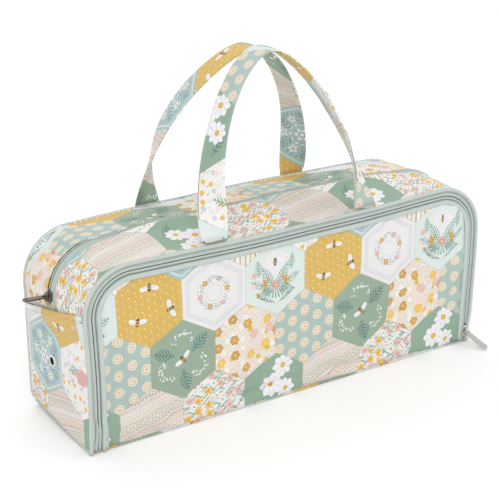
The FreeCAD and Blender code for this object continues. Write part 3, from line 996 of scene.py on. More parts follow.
def bar(start, end, first, second, width, height):
    """A small bar with a six-sided section and drawn-in ends."""
    points = []
    along = end - start
    for share, size in ((0.0, 0.45), (0.22, 1.0), (0.78, 1.0), (1.0, 0.45)):
        for k in range(6):
            angle = math.pi * k / 3.0
            points.append(start + along * share
                          + first * (0.5 * width * size * math.cos(angle))
                          + second * (0.5 * height * size * math.sin(angle)))
    return points, tube_faces(6, 4)


def along_path(centres, spacing):
    """Evenly spaced (point, direction, share) along a path."""
    lengths = [0.0]
    for a, b in zip(centres, centres[1:]):
        lengths.append(lengths[-1] + (b - a).length)
    total = lengths[-1]
    count = max(2, int(total / spacing))
    result = []
    k = 0
    for n in range(count):
        run = (n + 0.5) * total / count
        while lengths[k + 1] < run and k < len(centres) - 2:
            k += 1
        part = (run - lengths[k]) / (lengths[k + 1] - lengths[k])
        a = centres[k]
        b = centres[k + 1]
        result.append((a.lerp(b, part), (b - a).normalized(), k + part))
    return result


def stitches(name, paths, body, sink=0.0, slot=None):
    """Rows of thread; each path is (centres, the cloth's normal: one vector, or one a centre)."""
    thread = 0.45 * mm
    length = 2.2 * mm
    pitch = 3.2 * mm
    parts = []
    for centres, out in paths:
        for point, along, place in along_path(centres, pitch):
            up = out if isinstance(out, Vector) else out[int(place)]
            up = (up - along * up.dot(along)).normalized()
            start = point - along * (0.5 * length) + up * sink
            end = point + along * (0.5 * length) + up * sink
            parts.append(bar(start, end, along.cross(up), up, thread, thread))
    done(joined(name, parts, finish["thread"]), slot, body)


def done(piece, slot, body=None, replaces=()):
    """Puts a finished piece in its body and hides the parts that it stands for; its slot is not used."""
    if body:
        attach(piece, body)
    if replaces:
        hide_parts(*replaces)


def round_top(share, half, top, radius):
    """Height and half width of an upright panel, a share of the way round its top corners."""
    angle = share * math.pi / 2.0
    return top - radius + radius * math.sin(angle), half - radius + radius * math.cos(angle)


# ---------------------------------------------------------------- front flap
roll_height = 9 * mm            # the flap's foot rolls back under the bag
roll_back = 15 * mm


def fold(x, z, start, end, width):
    """Depth share of a soft valley along a line on the front."""
    ax, az = start
    bx, bz = end
    long = math.hypot(bx - ax, bz - az)
    ux = (bx - ax) / long
    uz = (bz - az) / long
    along = (x - ax) * ux + (z - az) * uz
    off = (x - ax) * -uz + (z - az) * ux
    ends = smooth_step(-width, width, along) * (1.0 - smooth_step(long - width, long + width, along))
    return math.exp(-(off / width) ** 2) * ends


# depth, start, end and width of each fold, in millimetres seen from the front; below 0 it stands out
flap_creases = ((6.5, (100, 14), (150, 118), 12), (-3.0, (72, 20), (112, 120), 15),
                (4.0, (-60, 8), (-25, 80), 11), (3.6, (-185, 40), (-120, 20), 9),
                (3.0, (-10, 30), (60, 12), 8), (3.0, (20, 140), (70, 96), 9),
                (2.8, (-105, 13), (-22, 16), 3.6), (2.8, (-36, 18), (78, 13), 3.4))


def flap_folds(x, z):
    """The slack cloth falls in long slanting folds, deepest towards the slider's end."""
    depth = 0.0
    for deep, start, end, width in flap_creases:
        depth += deep * mm * fold(x, z, [v * mm for v in start], [v * mm for v in end], width * mm)
    return depth


def hem_wave(x):
    """The rolled foot of the flap rises and falls along its length."""
    ends = smooth_step(0.0, 40 * mm, half_length - abs(x))
    return (1.5 * mm * math.sin(x / (19 * mm) + 0.4) + 1.2 * mm * math.sin(x / (44 * mm))) * ends


def flap_roll(a, share, half):
    """The flap's foot: share 0 is its hidden edge under the bag and 1 the start of its face."""
    turn = (1.0 - share) * math.pi / 2.0
    flat = smooth_step(0.0, 34 * mm, half - abs(2.0 * a - 1.0) * half)
    low = flap_foot + 1.5 * mm
    x = (2.0 * a - 1.0) * half
    z = (roll_height * (1.0 - math.sin(turn)) + 0.4 * mm) * flat + (low * (1.0 - flat))
    z += (1.0 - flat) * (roll_height - low) * (1.0 - turn / (math.pi / 2.0))
    z += hem_wave(x) * flat
    y = flap_front + roll_back * (1.0 - math.cos(turn)) * flat + (1.0 - flat) * 0.5 * mm
    return Vector((x, y, z))


def flap_place(a, b):
    """Outer face of the flap: rolled under at its foot, crowned a little in the middle."""
    top = seam_height - flap_cloth_start
    radius = corner_radius - flap_cloth_start
    half = half_length - flap_cloth_start
    roll_share = 0.12
    arc_share = 0.30
    if b < roll_share:
        return flap_roll(a, b / roll_share, half)
    if b < 1.0 - arc_share:
        share = (b - roll_share) / (1.0 - arc_share - roll_share)
        z = roll_height + 0.4 * mm + (top - radius - roll_height - 0.4 * mm) * share
        z += hem_wave((2.0 * a - 1.0) * half) * (1.0 - share) ** 3
        width = half
    else:
        z, width = round_top((b - 1.0 + arc_share) / arc_share, half, top, radius)
    x = (2.0 * a - 1.0) * width
    crown = math.cos(0.5 * math.pi * x / half) * math.sin(math.pi * min(1.0, z / top)) * 3.4 * mm
    from_edge = min(half - abs(x), top - z)
    edge_tuck = 1.3 * mm * (1.0 - smooth_step(0.0, 8 * mm, from_edge))
    pucker = (x + 0.8 * z) / (2.6 * mm) + 2.0 * math.sin(x / (23 * mm)) + 1.5 * math.sin(z / (17 * mm))
    edge_tuck += 0.5 * mm * math.sin(pucker) * math.exp(-((from_edge - 7 * mm) / (5 * mm)) ** 2)
    inland = smooth_step(0.0, 26 * mm, min(half - abs(x), top - z, z - roll_height + 12 * mm))
    y = flap_front - crown + edge_tuck + flap_folds(x, z) * inland
    y -= softness((x, 0.0, z), 46 * mm, 3.0, 1.6 * mm)
    return Vector((x, y, z))


def flap_uv(a, b):
    point = flap_place(a, b)
    extra = max(0.0, point.y - flap_front - 2 * mm)
    return (point.x + cloth_x, point.z - extra + cloth_z)


def flap_limit(point):
    """Keeps the flap's dents shallow, so that its lining and pocket have room."""
    dent = point.y - flap_front
    deepest = 2.6 * mm
    if dent > 0.0 and point.z > 2.0 * roll_height:
        return Vector((point.x, flap_front + deepest * math.tanh(dent / deepest), point.z))
    return point


def front_flap():
    piece = panel("flap_cloth", 121, 61, flap_place, flap_uv, wall, finish["printed_cloth"], -1.0,
                  slack=0.014, cap=2.6 * mm, held_back=flap_limit)
    done(piece, "printed_cloth", replaces=["flap_panel"])
    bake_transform(piece)


def outline_path(drawn_in, y, first=0.0, last=None, step=4 * mm):
    """Settled points along the front outline, drawn in by a width."""
    last = outline_length if last is None else last
    count = int((last - first) / step) + 1
    runs = [first + (last - first) * k / (count - 1) for k in range(count)]
    return [settle(on_outline(run, drawn_in, y)) for run in runs]


def outline_welt(name, body, drawn_in, y, width, height, corner, first=0.0, last=None):
    """A covered cord or a binding along the front outline."""
    centres = outline_path(drawn_in, y, first, last)
    piece = sweep(name, centres, frames_along(centres, forward), flat_section(width, height, corner),
                  finish["piping_cord"])
    done(piece, "piping_cord", body)


def teeth_row(name, centres, frames, shift):
    """Interlocking zip teeth: bars across the coil, each with a rounded back."""
    parts = []
    reach = 1.05 * mm
    for point, along, place in along_path(centres, tooth_pitch):
        side, up = frames[int(place)]
        start = point + along * (shift * tooth_pitch) - side * reach
        parts.append(bar(start, start + side * (2.0 * reach), along, up, 0.95 * mm, 0.9 * mm))
    return joined(name, parts, finish["zip_coil"])


def tape_section(sign, reach, split, droop=0.0):
    """Half of a zip's tape: it rises over the teeth beside the middle and lies flat beyond them.

    Offsets run across from the middle of the zip and up from the face of the tape.  The far edge
    hangs by the droop, where the cloth that hides it falls away.
    """
    cloth = 0.45 * mm
    crest = 1.5 * mm
    top = [(split, crest - 0.5 * mm), (split + 0.35 * mm, crest), (2.0 * mm, crest),
           (2.6 * mm, crest - 0.45 * mm), (3.1 * mm, 0.15 * mm), (3.9 * mm, 0.0), (reach, -droop)]
    under = [(reach, -droop - cloth), (3.9 * mm, -cloth), (2.9 * mm, -0.2 * mm),
             (2.4 * mm, crest - cloth - 0.4 * mm), (1.9 * mm, crest - cloth),
             (split + 0.35 * mm, crest - cloth), (split, crest - cloth - 0.3 * mm)]
    section = [(sign * a, b) for a, b in top + under]
    return section if sign > 0 else section[::-1]


def front_zip():
    """Welt, tapes, teeth and binding of the three-sided zip."""
    foot_left = 3 * mm
    inner_last = outline_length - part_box("front_slider")[1].z - 1 * mm
    outline_welt("front_seam_welt", "bag", 0.5 * welt_width - 0.6 * mm, tape_face - 1.0 * mm,
                 welt_width, 3.4 * mm, 1.6 * mm)
    sides = (("outer", "bag", -1.0, outline_length - 3 * mm, 7.2 * mm),
             ("inner", "flap", 1.0, inner_last, 7.6 * mm))
    for word, body, sign, last, reach in sides:
        centres = outline_path(zip_line, tape_face - 0.1 * mm, foot_left, last, 3 * mm)
        tape = sweep("front_zip_" + word + "_cloth", centres, frames_along(centres, forward),
                     tape_section(-sign, reach, 0.32 * mm), finish["zip_tape"])
        done(tape, "zip_tape", body, ["front_zip_" + word + "_tape"])
        centres = outline_path(zip_line + sign * 1.4 * mm, coil_face + 1.1 * mm, foot_left, last, 2 * mm)
        teeth = teeth_row("front_zip_" + word + "_teeth", centres, frames_along(centres, forward),
                          sign * 0.25)
        done(teeth, "zip_coil", body, ["front_zip_" + word + "_coil"])
    outline_welt("flap_binding", "flap", 0.5 * (binding_start + binding_end), tape_face - 1.7 * mm,
                 binding_end - binding_start, 3.2 * mm, 1.5 * mm, 2 * mm, outline_length - 4 * mm)


def zip_fold(drawn_in, lean):
    """One upright fold of the zip's cloth, thinning out towards its top."""
    height = 34 * mm
    steps = 12
    centres = []
    sizes = []
    for k in range(steps + 1):
        share = k / steps
        y = tape_face - 1.9 * mm * math.sin(math.pi * min(1.0, 1.15 - share)) - 0.2 * mm
        centres.append(settle(Vector((-half_length + drawn_in + (1.0 - share) * lean, y,
                                      1.6 * mm + height * share))))
        sizes.append(1.0 - 0.75 * smooth_step(0.55, 1.0, share))
    section = flat_section(2.7 * mm, 2.6 * mm, 1.2 * mm)
    points = []
    for centre, (side, up), size in zip(centres, frames_along(centres, forward), sizes):
        points.extend(centre + side * size * a + up * size * b for a, b in section)
    return points, tube_faces(len(section), len(centres))


def zip_end_folds():
    """The zip's cloth bunches into upright folds at the left foot."""
    for word, body, first, count, leans in (("outer", "bag", 3.2 * mm, 2, -1.0),
                                            ("inner", "flap", 8.6 * mm, 3, 1.0)):
        parts = [zip_fold(first + k * 3.0 * mm, (k + leans) * 0.9 * mm) for k in range(count)]
        piece = joined("zip_end_folds_" + word, parts, finish["zip_tape"], slant=0.0)
        done(piece, "zip_tape", body)


# ---------------------------------------------------------------- back, ends and base
def back_place(a, b):
    """Outer face of the back, round at all four corners."""
    low_share = 0.10
    high_share = 0.30
    if b < low_share:
        angle = b / low_share * math.pi / 2.0
        z = back_foot * (1.0 - math.cos(angle))
        width = half_length - back_foot * (1.0 - math.sin(angle))
    elif b < 1.0 - high_share:
        share = (b - low_share) / (1.0 - high_share - low_share)
        z = back_foot + (corner_z - back_foot) * share
        width = half_length
    else:
        share = (b - 1.0 + high_share) / high_share
        z, width = round_top(share, half_length, seam_height, corner_radius)
    x = (2.0 * a - 1.0) * width
    across = math.cos(0.5 * math.pi * x / half_length)
    crown = across * math.sin(math.pi * z / seam_height) * 3.0 * mm
    y = half_depth + crown + softness((x, 0.0, z), 50 * mm, 9.0, 1.6 * mm) * across
    return Vector((x, y, z))


def back_panel():
    def uv(a, b):
        point = back_place(a, b)
        return (cloth_x - point.x, point.z + cloth_z)
    piece = panel("back_cloth", 121, 61, back_place, uv, wall, finish["printed_cloth"], 1.0,
                  slack=0.012, cap=3.5 * mm)
    done(piece, "printed_cloth", "bag", ["back_panel"])


def loop_path(drawn_in, y, radius):
    """The whole outline of the back, with round corners at the base, as a closed ring of points."""
    reach = radius - drawn_in
    turns = [math.radians(15.0 * k) for k in range(1, 6)]
    corner = [(half_length - radius + reach * math.cos(turn), radius - reach * math.sin(turn))
              for turn in turns]
    steps = 80
    foot = [((half_length - radius) * (1.0 - 2.0 * k / steps), drawn_in) for k in range(steps + 1)]
    low = corner + foot + [(-x, z) for x, z in reversed(corner)]
    return (outline_path(drawn_in, y, radius, outline_length - radius)
            + [settle(Vector((x, y, z))) for x, z in low])


def ring_sweep(name, points, up, section, material):
    """A section swept round a closed ring of points."""
    count = len(points)
    columns = len(section)
    vertices = []
    uvs = []
    run = 0.0
    for k, centre in enumerate(points):
        along = (points[(k + 1) % count] - points[k - 1]).normalized()
        lift = (up - along * up.dot(along)).normalized()
        side = along.cross(lift)
        if k:
            run += (centre - points[k - 1]).length
        for m, (a, b) in enumerate(section):
            vertices.append(centre + side * a + lift * b)
            uvs.append((run, m * 0.6 * mm))
    faces = [tuple(corner % len(vertices) for corner in quad)
             for quad in grid_faces(columns, count + 1, closed=True)]
    return make_object(name, vertices, faces, uvs, material)


def back_piping():
    points = loop_path(1.2 * mm, half_depth + 0.6 * mm, back_foot)
    piece = ring_sweep("back_seam_welt", points, Vector((0.0, 1.0, 0.0)),
                       flat_section(3.6 * mm, 3.4 * mm, 1.6 * mm), finish["piping_cord"])
    done(piece, "piping_cord", "bag", ["back_piping"])


def foot_radius(y):
    """The ends turn under more roundly towards the back."""
    return (5.0 + 12.0 * smooth_step(-half_depth, half_depth, y)) * mm


def foot_point(angle, y):
    """A point of the right end's foot: angle 0 is its upright side and 90 its flat underside."""
    r = foot_radius(y)
    turn = math.radians(angle)
    return half_length - r + r * math.cos(turn), r - r * math.sin(turn)


def across_depth(share, inset=behind_flap):
    """From a little behind the flap's face to the back seam."""
    return flap_front + inset + share * (half_depth - flap_front - inset)


def base_place(a, b):
    """The base, turned up a little at both ends; a runs along, b from front to back."""
    y = across_depth(b)
    turned_up = 0.06
    side = -1.0 if a < 0.5 else 1.0
    from_end = min(a, 1.0 - a)
    if from_end < turned_up:
        x, z = foot_point(45.0 + 45.0 * from_end / turned_up, y)
    else:
        x, z = foot_point(90.0, y)
        x *= 1.0 - (from_end - turned_up) / (0.5 - turned_up)
    return Vector((side * x, y, z + 0.2 * mm))


def base_panel():
    length = 2.0 * half_length

    def uv(a, b):
        return (a * length + 0.031, b * 2.0 * half_depth - 0.03)
    piece = panel("base_cloth", 91, 25, base_place, uv, wall, finish["printed_cloth"], 1.0)
    done(piece, "printed_cloth", "bag", ["bottom_gusset"])


def end_height(y):
    """Top edge of an end panel: a fold that covers the zip's end and climbs towards the front."""
    return end_top - end_top_slope * y


def end_profile(y):
    """How far an end stands out past its seams."""
    share = min(1.0, abs(y) / half_depth)
    return end_bulge * (1.0 - share ** 2.4)


def end_place(side):
    """Outer face of an end, with its gathered folds; a runs from front to back, b upwards."""
    def place(a, b):
        y = across_depth(a)
        foot_share = 0.10
        edge = math.sin(math.pi * a)
        bulge = end_profile(y) * (1.0 - 0.25 * math.cos(2.0 * math.pi * b))
        if b < foot_share:
            x, z = foot_point(45.0 - 45.0 * b / foot_share, y)
            x += bulge * b / foot_share
        else:
            low = foot_radius(y)
            z = low + (b - foot_share) / (1.0 - foot_share) * (end_height(y) - low)
            x = half_length + bulge
        crease = 1.5 * mm * math.exp(-((z - 88 * mm + 0.5 * y) / (9 * mm)) ** 2) * edge
        crease += 1.1 * mm * math.exp(-((z - 30 * mm - 0.45 * y) / (8 * mm)) ** 2) * edge
        x += softness((0.0, y, z), 30 * mm, 5.0 + side, 1.6 * mm) * edge - crease
        eyelet = math.exp(-((y ** 2 + (z - eyelet_z) ** 2) / (11 * mm) ** 2))
        flat_x = half_length + end_bulge
        x = x + (flat_x - x) * min(1.0, 1.35 * eyelet) if side < 0 else x
        x += 2.0 * mm * smooth_step(0.80, 1.0, b)
        return Vector((side * x, y, z))
    return place


def cut_eyelet_hole(piece):
    """Opens the eyelet's hole through the mesh of the left end or its lining."""
    bpy.ops.mesh.primitive_cylinder_add(vertices=32, radius=eyelet_hole, depth=20 * mm,
                                        location=(-half_length, 0.0, eyelet_z),
                                        rotation=(0.0, math.pi / 2.0, 0.0))
    cutter = bpy.context.active_object
    cut = piece.modifiers.new("hole", "BOOLEAN")
    cut.operation = "DIFFERENCE"
    cut.solver = "EXACT"
    cut.object = cutter
    bpy.context.view_layer.objects.active = piece
    bpy.ops.object.modifier_apply(modifier="hole")
    bpy.data.objects.remove(cutter)


def end_stitches(word, side, place):
    """The row of thread along the fold that covers the zip's end."""
    centres = [settle(place(k / 40, 1.0) + Vector((side * 0.2 * mm, 0.0, -4.6 * mm))) for k in range(41)]
    stitches(word + "_end_fold_stitches", [(centres, Vector((side, 0.0, 0.0)))], "bag")


def base_welt(word, side):
    """Covered cord in the seam between an end and the base."""
    centres = []
    for k in range(29):
        y = across_depth(k / 28, 3 * mm)
        x, z = foot_point(45.0, y)
        centres.append(settle(Vector((side * (x + 0.3 * mm), y, z - 0.1 * mm))))
    welt = sweep(word + "_base_welt", centres, frames_along(centres, Vector((side, 0.0, 0.0))),
                 flat_section(3.0 * mm, 3.0 * mm, 1.4 * mm), finish["piping_cord"])
    done(welt, "piping_cord", "bag")


def end_panels():
    for word, side in (("left", -1.0), ("right", 1.0)):
        place = end_place(side)

        def uv(a, b):
            point = place(a, b)
            return (cloth_x - 134.5 * mm - side * point.y, (242.5 * mm - point.z) + cloth_z)
        piece = panel(word + "_end_cloth", 49, 49, place, uv, wall, finish["printed_cloth"], -side)
        if side < 0:
            cut_eyelet_hole(piece)
        done(piece, "printed_cloth", "bag", [word + "_end_gusset"])
        end_stitches(word, side, place)
        base_welt(word, side)


# ---------------------------------------------------------------- top strips and top zip
def seam_and_line(run):
    """Seam point, zip-line point and outward direction, run metres from the left end's foot."""
    x, z, nx, nz = outline(run)
    seam = Vector((x, 0.0, z))
    if nz == 0.0:
        share = min(1.0, z / corner_z)
        line = Vector((math.copysign(zip_arc_x + zip_arc_radius, x), 0.0,
                       z + (zip_arc_z - corner_z) * share))
    elif nx == 0.0:
        share = smooth_step(0.0, corner_x - full_dome_x, corner_x - abs(x))
        rise = corner_dome + (dome - corner_dome) * share
        reach = (zip_arc_x - corner_x) * (abs(x) / corner_x)
        line = Vector((x + math.copysign(reach, x), 0.0, seam_height + rise))
    else:
        line = Vector((math.copysign(zip_arc_x, x) + nx * zip_arc_radius, 0.0,
                       zip_arc_z + nz * zip_arc_radius))
    return seam, line, Vector((nx, 0.0, nz))


def top_place(run, across, side, lift=0.0):
    """A point on the top: across is 0 at the seam and 1 at the middle of the zip."""
    seam, line, out = seam_and_line(run)
    from_foot = min(run, outline_length - run)
    clear = smooth_step(end_top - 8 * mm, corner_z + 12 * mm, from_foot)
    puff = 2.2 * mm * math.sin(math.pi * min(1.0, across * 1.1)) * (1.0 - 0.5 * across) * clear
    puff -= 1.8 * mm * (1.0 - clear) * min(1.0, 6.0 * across)
    point = seam.lerp(line, across) + out * (puff + lift)
    y = side * half_depth * (1.0 - across)
    soft = softness((point.x, y, point.z), 30 * mm, 7.0 + side, 1.4 * mm)
    soft *= math.sin(math.pi * min(1.0, across / 0.9))
    return Vector((point.x, y, point.z)) + out * soft


top_first = end_top - 14 * mm        # the strips start under the end panel's fold
halves = (("left", top_first, 0.5 * outline_length), ("right", outline_length - top_first,
                                                       0.5 * outline_length))


def top_quarters():
    """Row, side, which half, and the first and last run of each quarter of the top."""
    for row, side in (("front", -1.0), ("back", 1.0)):
        for word, first, last in halves:
            yield row, side, word, first, last


def finish_top(piece, slot, row, word, part):
    """Hides the parts that a piece of the top stands for and bakes its place into its mesh."""
    nodes = [word + "_corner_" + row + "_" + part]
    if word == "left":
        nodes.append("top_" + row + "_" + part)
    done(piece, slot, replaces=nodes)
    sign = -1.0 if word == "left" else 1.0
    row + "_strip"
    sign * (corner_x - 2 * mm)
    sign * full_dome_x
    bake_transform(piece)


def top_strips():
    """The strips' edges turn down beside the zip at its ends, and stand over its tape further on."""
    seam_share = 0.012
    for row, side, word, first, last in top_quarters():
        def place(a, b):
            run = first + (last - first) * a
            narrow = smooth_step(corner_z + 60 * mm, corner_z + 100 * mm, min(run, outline_length - run))
            edge_share = 1.0 - (strip_edge + 1.8 * mm - 3.8 * mm * narrow) / half_depth
            fold = (0.8 * mm - 1.5 * mm * narrow) * smooth_step(0.86, 1.0, b)
            return top_place(run, seam_share + (edge_share - seam_share) * b, side, -fold)

        def uv(a, b):
            run = first + (last - first) * a - 0.5 * outline_length
            if side < 0:
                return (cloth_x + 73 * mm - run, cloth_z + 38 * mm - b * half_depth)
            return (run + 197 * mm, -14 * mm - b * half_depth)
        inward = side if word == "left" else -side
        piece = panel("top_" + row + "_" + word + "_cloth", 97, 21, place, uv, wall - 0.1 * mm,
                      finish["printed_cloth"], inward, slack=0.01, cap=2.5 * mm)
        finish_top(piece, "printed_cloth", row, word, "strip")


def top_zip():
    tape_drop = 2.2 * mm
    steps = 140
    for row, side, word, first, last in top_quarters():
        stations = [seam_and_line(first + (last - first) * k / steps)[1:] for k in range(steps + 1)]
        outs = [out for line, out in stations]

        def path(off_middle, drop):
            points = [line - out * drop for line, out in stations]
            return [settle(Vector((p.x, side * off_middle, p.z))) for p in points]
        centres = path(0.0, tape_drop)
        sign = side if word == "left" else -side
        name = "top_" + row + "_" + word
        tape = sweep(name + "_tape", centres, frames_along(centres, outs),
                     tape_section(sign, top_tape_edge, 0.75 * mm, 2.6 * mm), finish["zip_tape"])
        finish_top(tape, "zip_tape", row, word, "zip_tape")
        centres = path(1.15 * mm, tape_drop - 0.4 * mm)
        teeth = teeth_row(name + "_teeth", centres, frames_along(centres, outs), side * 0.25)
        finish_top(teeth, "zip_coil", row, word, "zip_coil")


# ---------------------------------------------------------------- handles
handle_shift = Vector((-6 * mm, 0.0, 166.5 * mm))
handle_spacing = 79 * mm
handle_hinge_y = 57 * mm
handle_apex_y = 14 * mm
strap_width = 25 * mm
strap_thickness = 2.4 * mm
strap_seam = 0.5 * strap_width - 2.2 * mm          # rows of stitches each side of the middle
leg_rise = 0.6                         # share of the arch's height that the legs pull straight up
crown_reach = 25 * mm
twist_rate = 0.24                      # share of the half strap in which most of its turn happens


def arch_point(t, side, arch, bow, power):
    """Middle line of a handle from its left foot to its crown, a Bezier curve."""
    a = (1 - t) ** 3
    b = 3 * (1 - t) ** 2 * t
    c = 3 * (1 - t) * t ** 2
    d = t ** 3
    x = -a * handle_spacing - b * (handle_spacing + bow) - c * crown_reach
    z = b * leg_rise * arch + (c + d) * arch
    lean = (handle_hinge_y - handle_apex_y) * (z / arch) ** power
    return Vector((x, side * (handle_hinge_y - lean), z))


def strap_line(side, arch, bow, power):
    """Middle line of a strap from foot to foot, and how far along it each point lies."""
    steps = 40
    left = [arch_point(k / steps, side, arch, bow, power) for k in range(steps + 1)]
    line = left + [Vector((-p.x, p.y, p.z)) for p in reversed(left[:-1])]
    run = [0.0]
    for a, b in zip(line, line[1:]):
        run.append(run[-1] + (b - a).length)
    return line, run


def strap_frames(line, run, side):
    """Axes across a strap: flat against the bag at its feet, turned a quarter by its crown."""
    frames = []
    for i in range(len(line)):
        along = (line[min(i + 1, len(line) - 1)] - line[max(i - 1, 0)]).normalized()
        if i in (0, len(line) - 1):
            along = Vector((0.0, 0.0, 1.0 if i == 0 else -1.0))
        share = 2.0 * min(run[i], run[-1] - run[i]) / run[-1]
        turn = math.radians(90.0) * (1 - math.exp(-share / twist_rate)) / (1 - math.exp(-1 / twist_rate))
        outward = Vector((0.0, side, 0.0))
        outward = (outward - along * outward.dot(along)).normalized()
        across = outward.cross(along) * (side * math.cos(turn)) + outward * math.sin(turn)
        frames.append((across, along.cross(across)))
    return frames


def strap_section():
    """Section of a strap: its faces swell between the dips that the stitches pull in."""
    section = flat_section(strap_width, strap_thickness, 1.1 * mm, 4)
    dense = []
    for (a, b), following in zip(section, section[1:] + section[:1]):
        dense.append((a, b))
        step = (following[0] - a) / 10
        if abs(step) > 0.5 * mm:
            for k in range(1, 10):
                x = a + step * k
                dip = 0.35 * mm * math.exp(-((abs(x) - strap_seam) / (0.9 * mm)) ** 2)
                swell = 0.25 * mm * math.cos(math.pi * x / strap_width)
                dense.append((x, b + math.copysign(swell - dip, b)))
    return dense


def handle(word, side, arch, bow, power, outside_u, inside_u, first_v, grow):
    body = "handle_" + word
    name = word + "_handle_strap"
    line, run = strap_line(side, arch, bow, power)
    frames = strap_frames(line, run, side)
    centres = [point + handle_shift + up * softness(point, 40 * mm, 11.0 + side, 0.8 * mm)
               for point, (across, up) in zip(line, frames)]

    def uv_of(travel, a, b):
        u = outside_u + a if b * side > 0 else inside_u - a
        return (cloth_x + u, cloth_z + first_v + travel * grow)
    piece = sweep(name, centres, frames, strap_section(), finish["printed_cloth"], uv_of=uv_of)
    done(piece, "printed_cloth", body, [word + "_handle"])
    paths = []
    for sign in (-1.0, 1.0):
        for face in (-1.0, 1.0):
            outs = [up * face for across, up in frames]
            path = [centre + across * (sign * strap_seam) + up * (face * 0.5 * strap_thickness)
                    for centre, (across, up) in zip(centres, frames)]
            paths.append((path, outs))
    stitches(name + "_stitches", paths, body, sink=-0.1 * mm, slot="piping_cord")


def handles():
    handle("front", -1.0, 145 * mm, -2 * mm, 1.0, -12 * mm, 40 * mm, -80 * mm, 1.0)
    handle("back", 1.0, 141 * mm, 8 * mm, 1.8, 56 * mm, 62 * mm, 57 * mm, -1.0)


# ---------------------------------------------------------------- lining and pockets
def rounded_area(width, height, radius):
    """Area of an upright panel with two round top corners."""
    return width * height - (2.0 - math.pi / 2.0) * radius ** 2


def upright_place(drawn_in, y, low, bulge, seed, side):
    """A cloth wall drawn in from the outline, standing at y."""
    half = half_length - drawn_in
    top = seam_height - drawn_in
    radius = corner_radius - drawn_in

    def place(a, b):
        high_share = 0.30
        if b < 1.0 - high_share:
            z = low + (top - radius - low) * b / (1.0 - high_share)
            width = half
        else:
            z, width = round_top((b - 1.0 + high_share) / high_share, half, top, radius)
        x = (2.0 * a - 1.0) * width
        across = math.cos(0.5 * math.pi * x / half) * math.sin(math.pi * min(1.0, z / top))
        swell = bulge + softness((x, y, z), 34 * mm, seed, 1.2 * mm)
        return Vector((x, y + side * swell * across, z))
    return place


def metric_uv(place, across=0, up=2, shift=0.0):
    """Cloth coordinates that follow two of the three metric ones."""
    def uv(a, b):
        point = place(a, b)
        return (point[across] + shift, point[up])
    return uv


def lining_sheet(name, node, y, low, seed, side):
    """A lining as tall and long as the bag inside its seams."""
    drawn_in = wall + lining_cloth + 0.6 * mm
    place = upright_place(drawn_in, y, low, 1.5 * mm, seed, side)
    piece = panel(name, 81, 41, place, metric_uv(place), lining_cloth, finish["lining_cloth"], 1.0)
    width = 2.0 * (half_length - drawn_in)
    height = seam_height - drawn_in - low
    done(piece, "lining_cloth", "bag", [node])
    rounded_area(width, height, corner_radius - drawn_in)


def linings():
    lining_sheet("back_lining_cloth", "back_lining", half_depth - wall - 1.2 * mm, 5 * mm, 21.0, -1.0)
    lining_sheet("divider_cloth", "divider_wall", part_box("divider_wall")[0].y, 4.5 * mm, 25.0, 1.0)
    flap_lining()
    base_lining()
    end_linings()


def flap_lining():
    """Lies against the back of the flap, dent for dent."""
    points, normals, columns, rows = grids["flap_cloth"]
    first = 9                          # rows of the flap's grid that roll under its foot
    gap = wall + 0.4 * mm
    kept = [(i, j) for j in range(first, rows - 1) for i in range(1, columns - 1)]
    flat = [points[j * columns + i] - normals[j * columns + i] * gap for i, j in kept]
    back = [p + Vector((0.0, lining_cloth, 0.0)) for p in flat]
    kept_columns = columns - 2
    kept_rows = rows - 1 - first
    count = len(flat)
    faces = [tuple(reversed(f)) for f in grid_faces(kept_columns, kept_rows)]
    faces += [tuple(count + k for k in reversed(f)) for f in faces]
    faces += [(b, a, d, c) for a, b, c, d in rim_faces(kept_columns, kept_rows)]
    uvs = [(p.x, p.z) for p in flat + back]
    piece = make_object("flap_lining_cloth", flat + back, faces, uvs, finish["lining_cloth"])
    done(piece, "lining_cloth", "flap", ["flap_lining"])
    width = 2.0 * (half_length - binding_start - 3 * mm)
    height = max(p.z for p in flat) - min(p.z for p in flat)
    rounded_area(width, height, corner_radius - binding_start)


def base_lining():
    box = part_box("bottom_lining")

    def place(a, b):
        x = box[0].x + (box[1].x - box[0].x) * a
        y = box[0].y + (box[1].y - box[0].y - 0.8 * mm) * b
        edge = math.sin(math.pi * a) * math.sin(math.pi * b)
        return Vector((x, y, box[1].z + softness((x, y, 0.0), 36 * mm, 31.0, 0.8 * mm) * edge))
    piece = panel("base_lining_cloth", 81, 21, place, metric_uv(place, up=1), lining_cloth,
                  finish["lining_cloth"], -1.0)
    done(piece, "lining_cloth", "bag", ["bottom_lining"])


def end_linings():
    for word, side in (("left", -1.0), ("right", 1.0)):
        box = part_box(word + "_end_lining")

        def place(a, b):
            y = box[0].y + (box[1].y - box[0].y - 1 * mm) * a
            z = box[0].z + (end_height(y) - 6 * mm - box[0].z) * b
            edge = math.sin(math.pi * a) * math.sin(math.pi * b)
            x = half_length - wall - 1.2 * mm + softness((0.0, y, z), 24 * mm, 33.0, 0.8 * mm) * edge
            return Vector((side * x, y, z))
        piece = panel(word + "_end_lining_cloth", 33, 33, place, metric_uv(place, across=1),
                      lining_cloth, finish["lining_cloth"], -side)
        if side < 0:
            cut_eyelet_hole(piece)
        done(piece, "lining_cloth", "bag", [word + "_end_lining"])


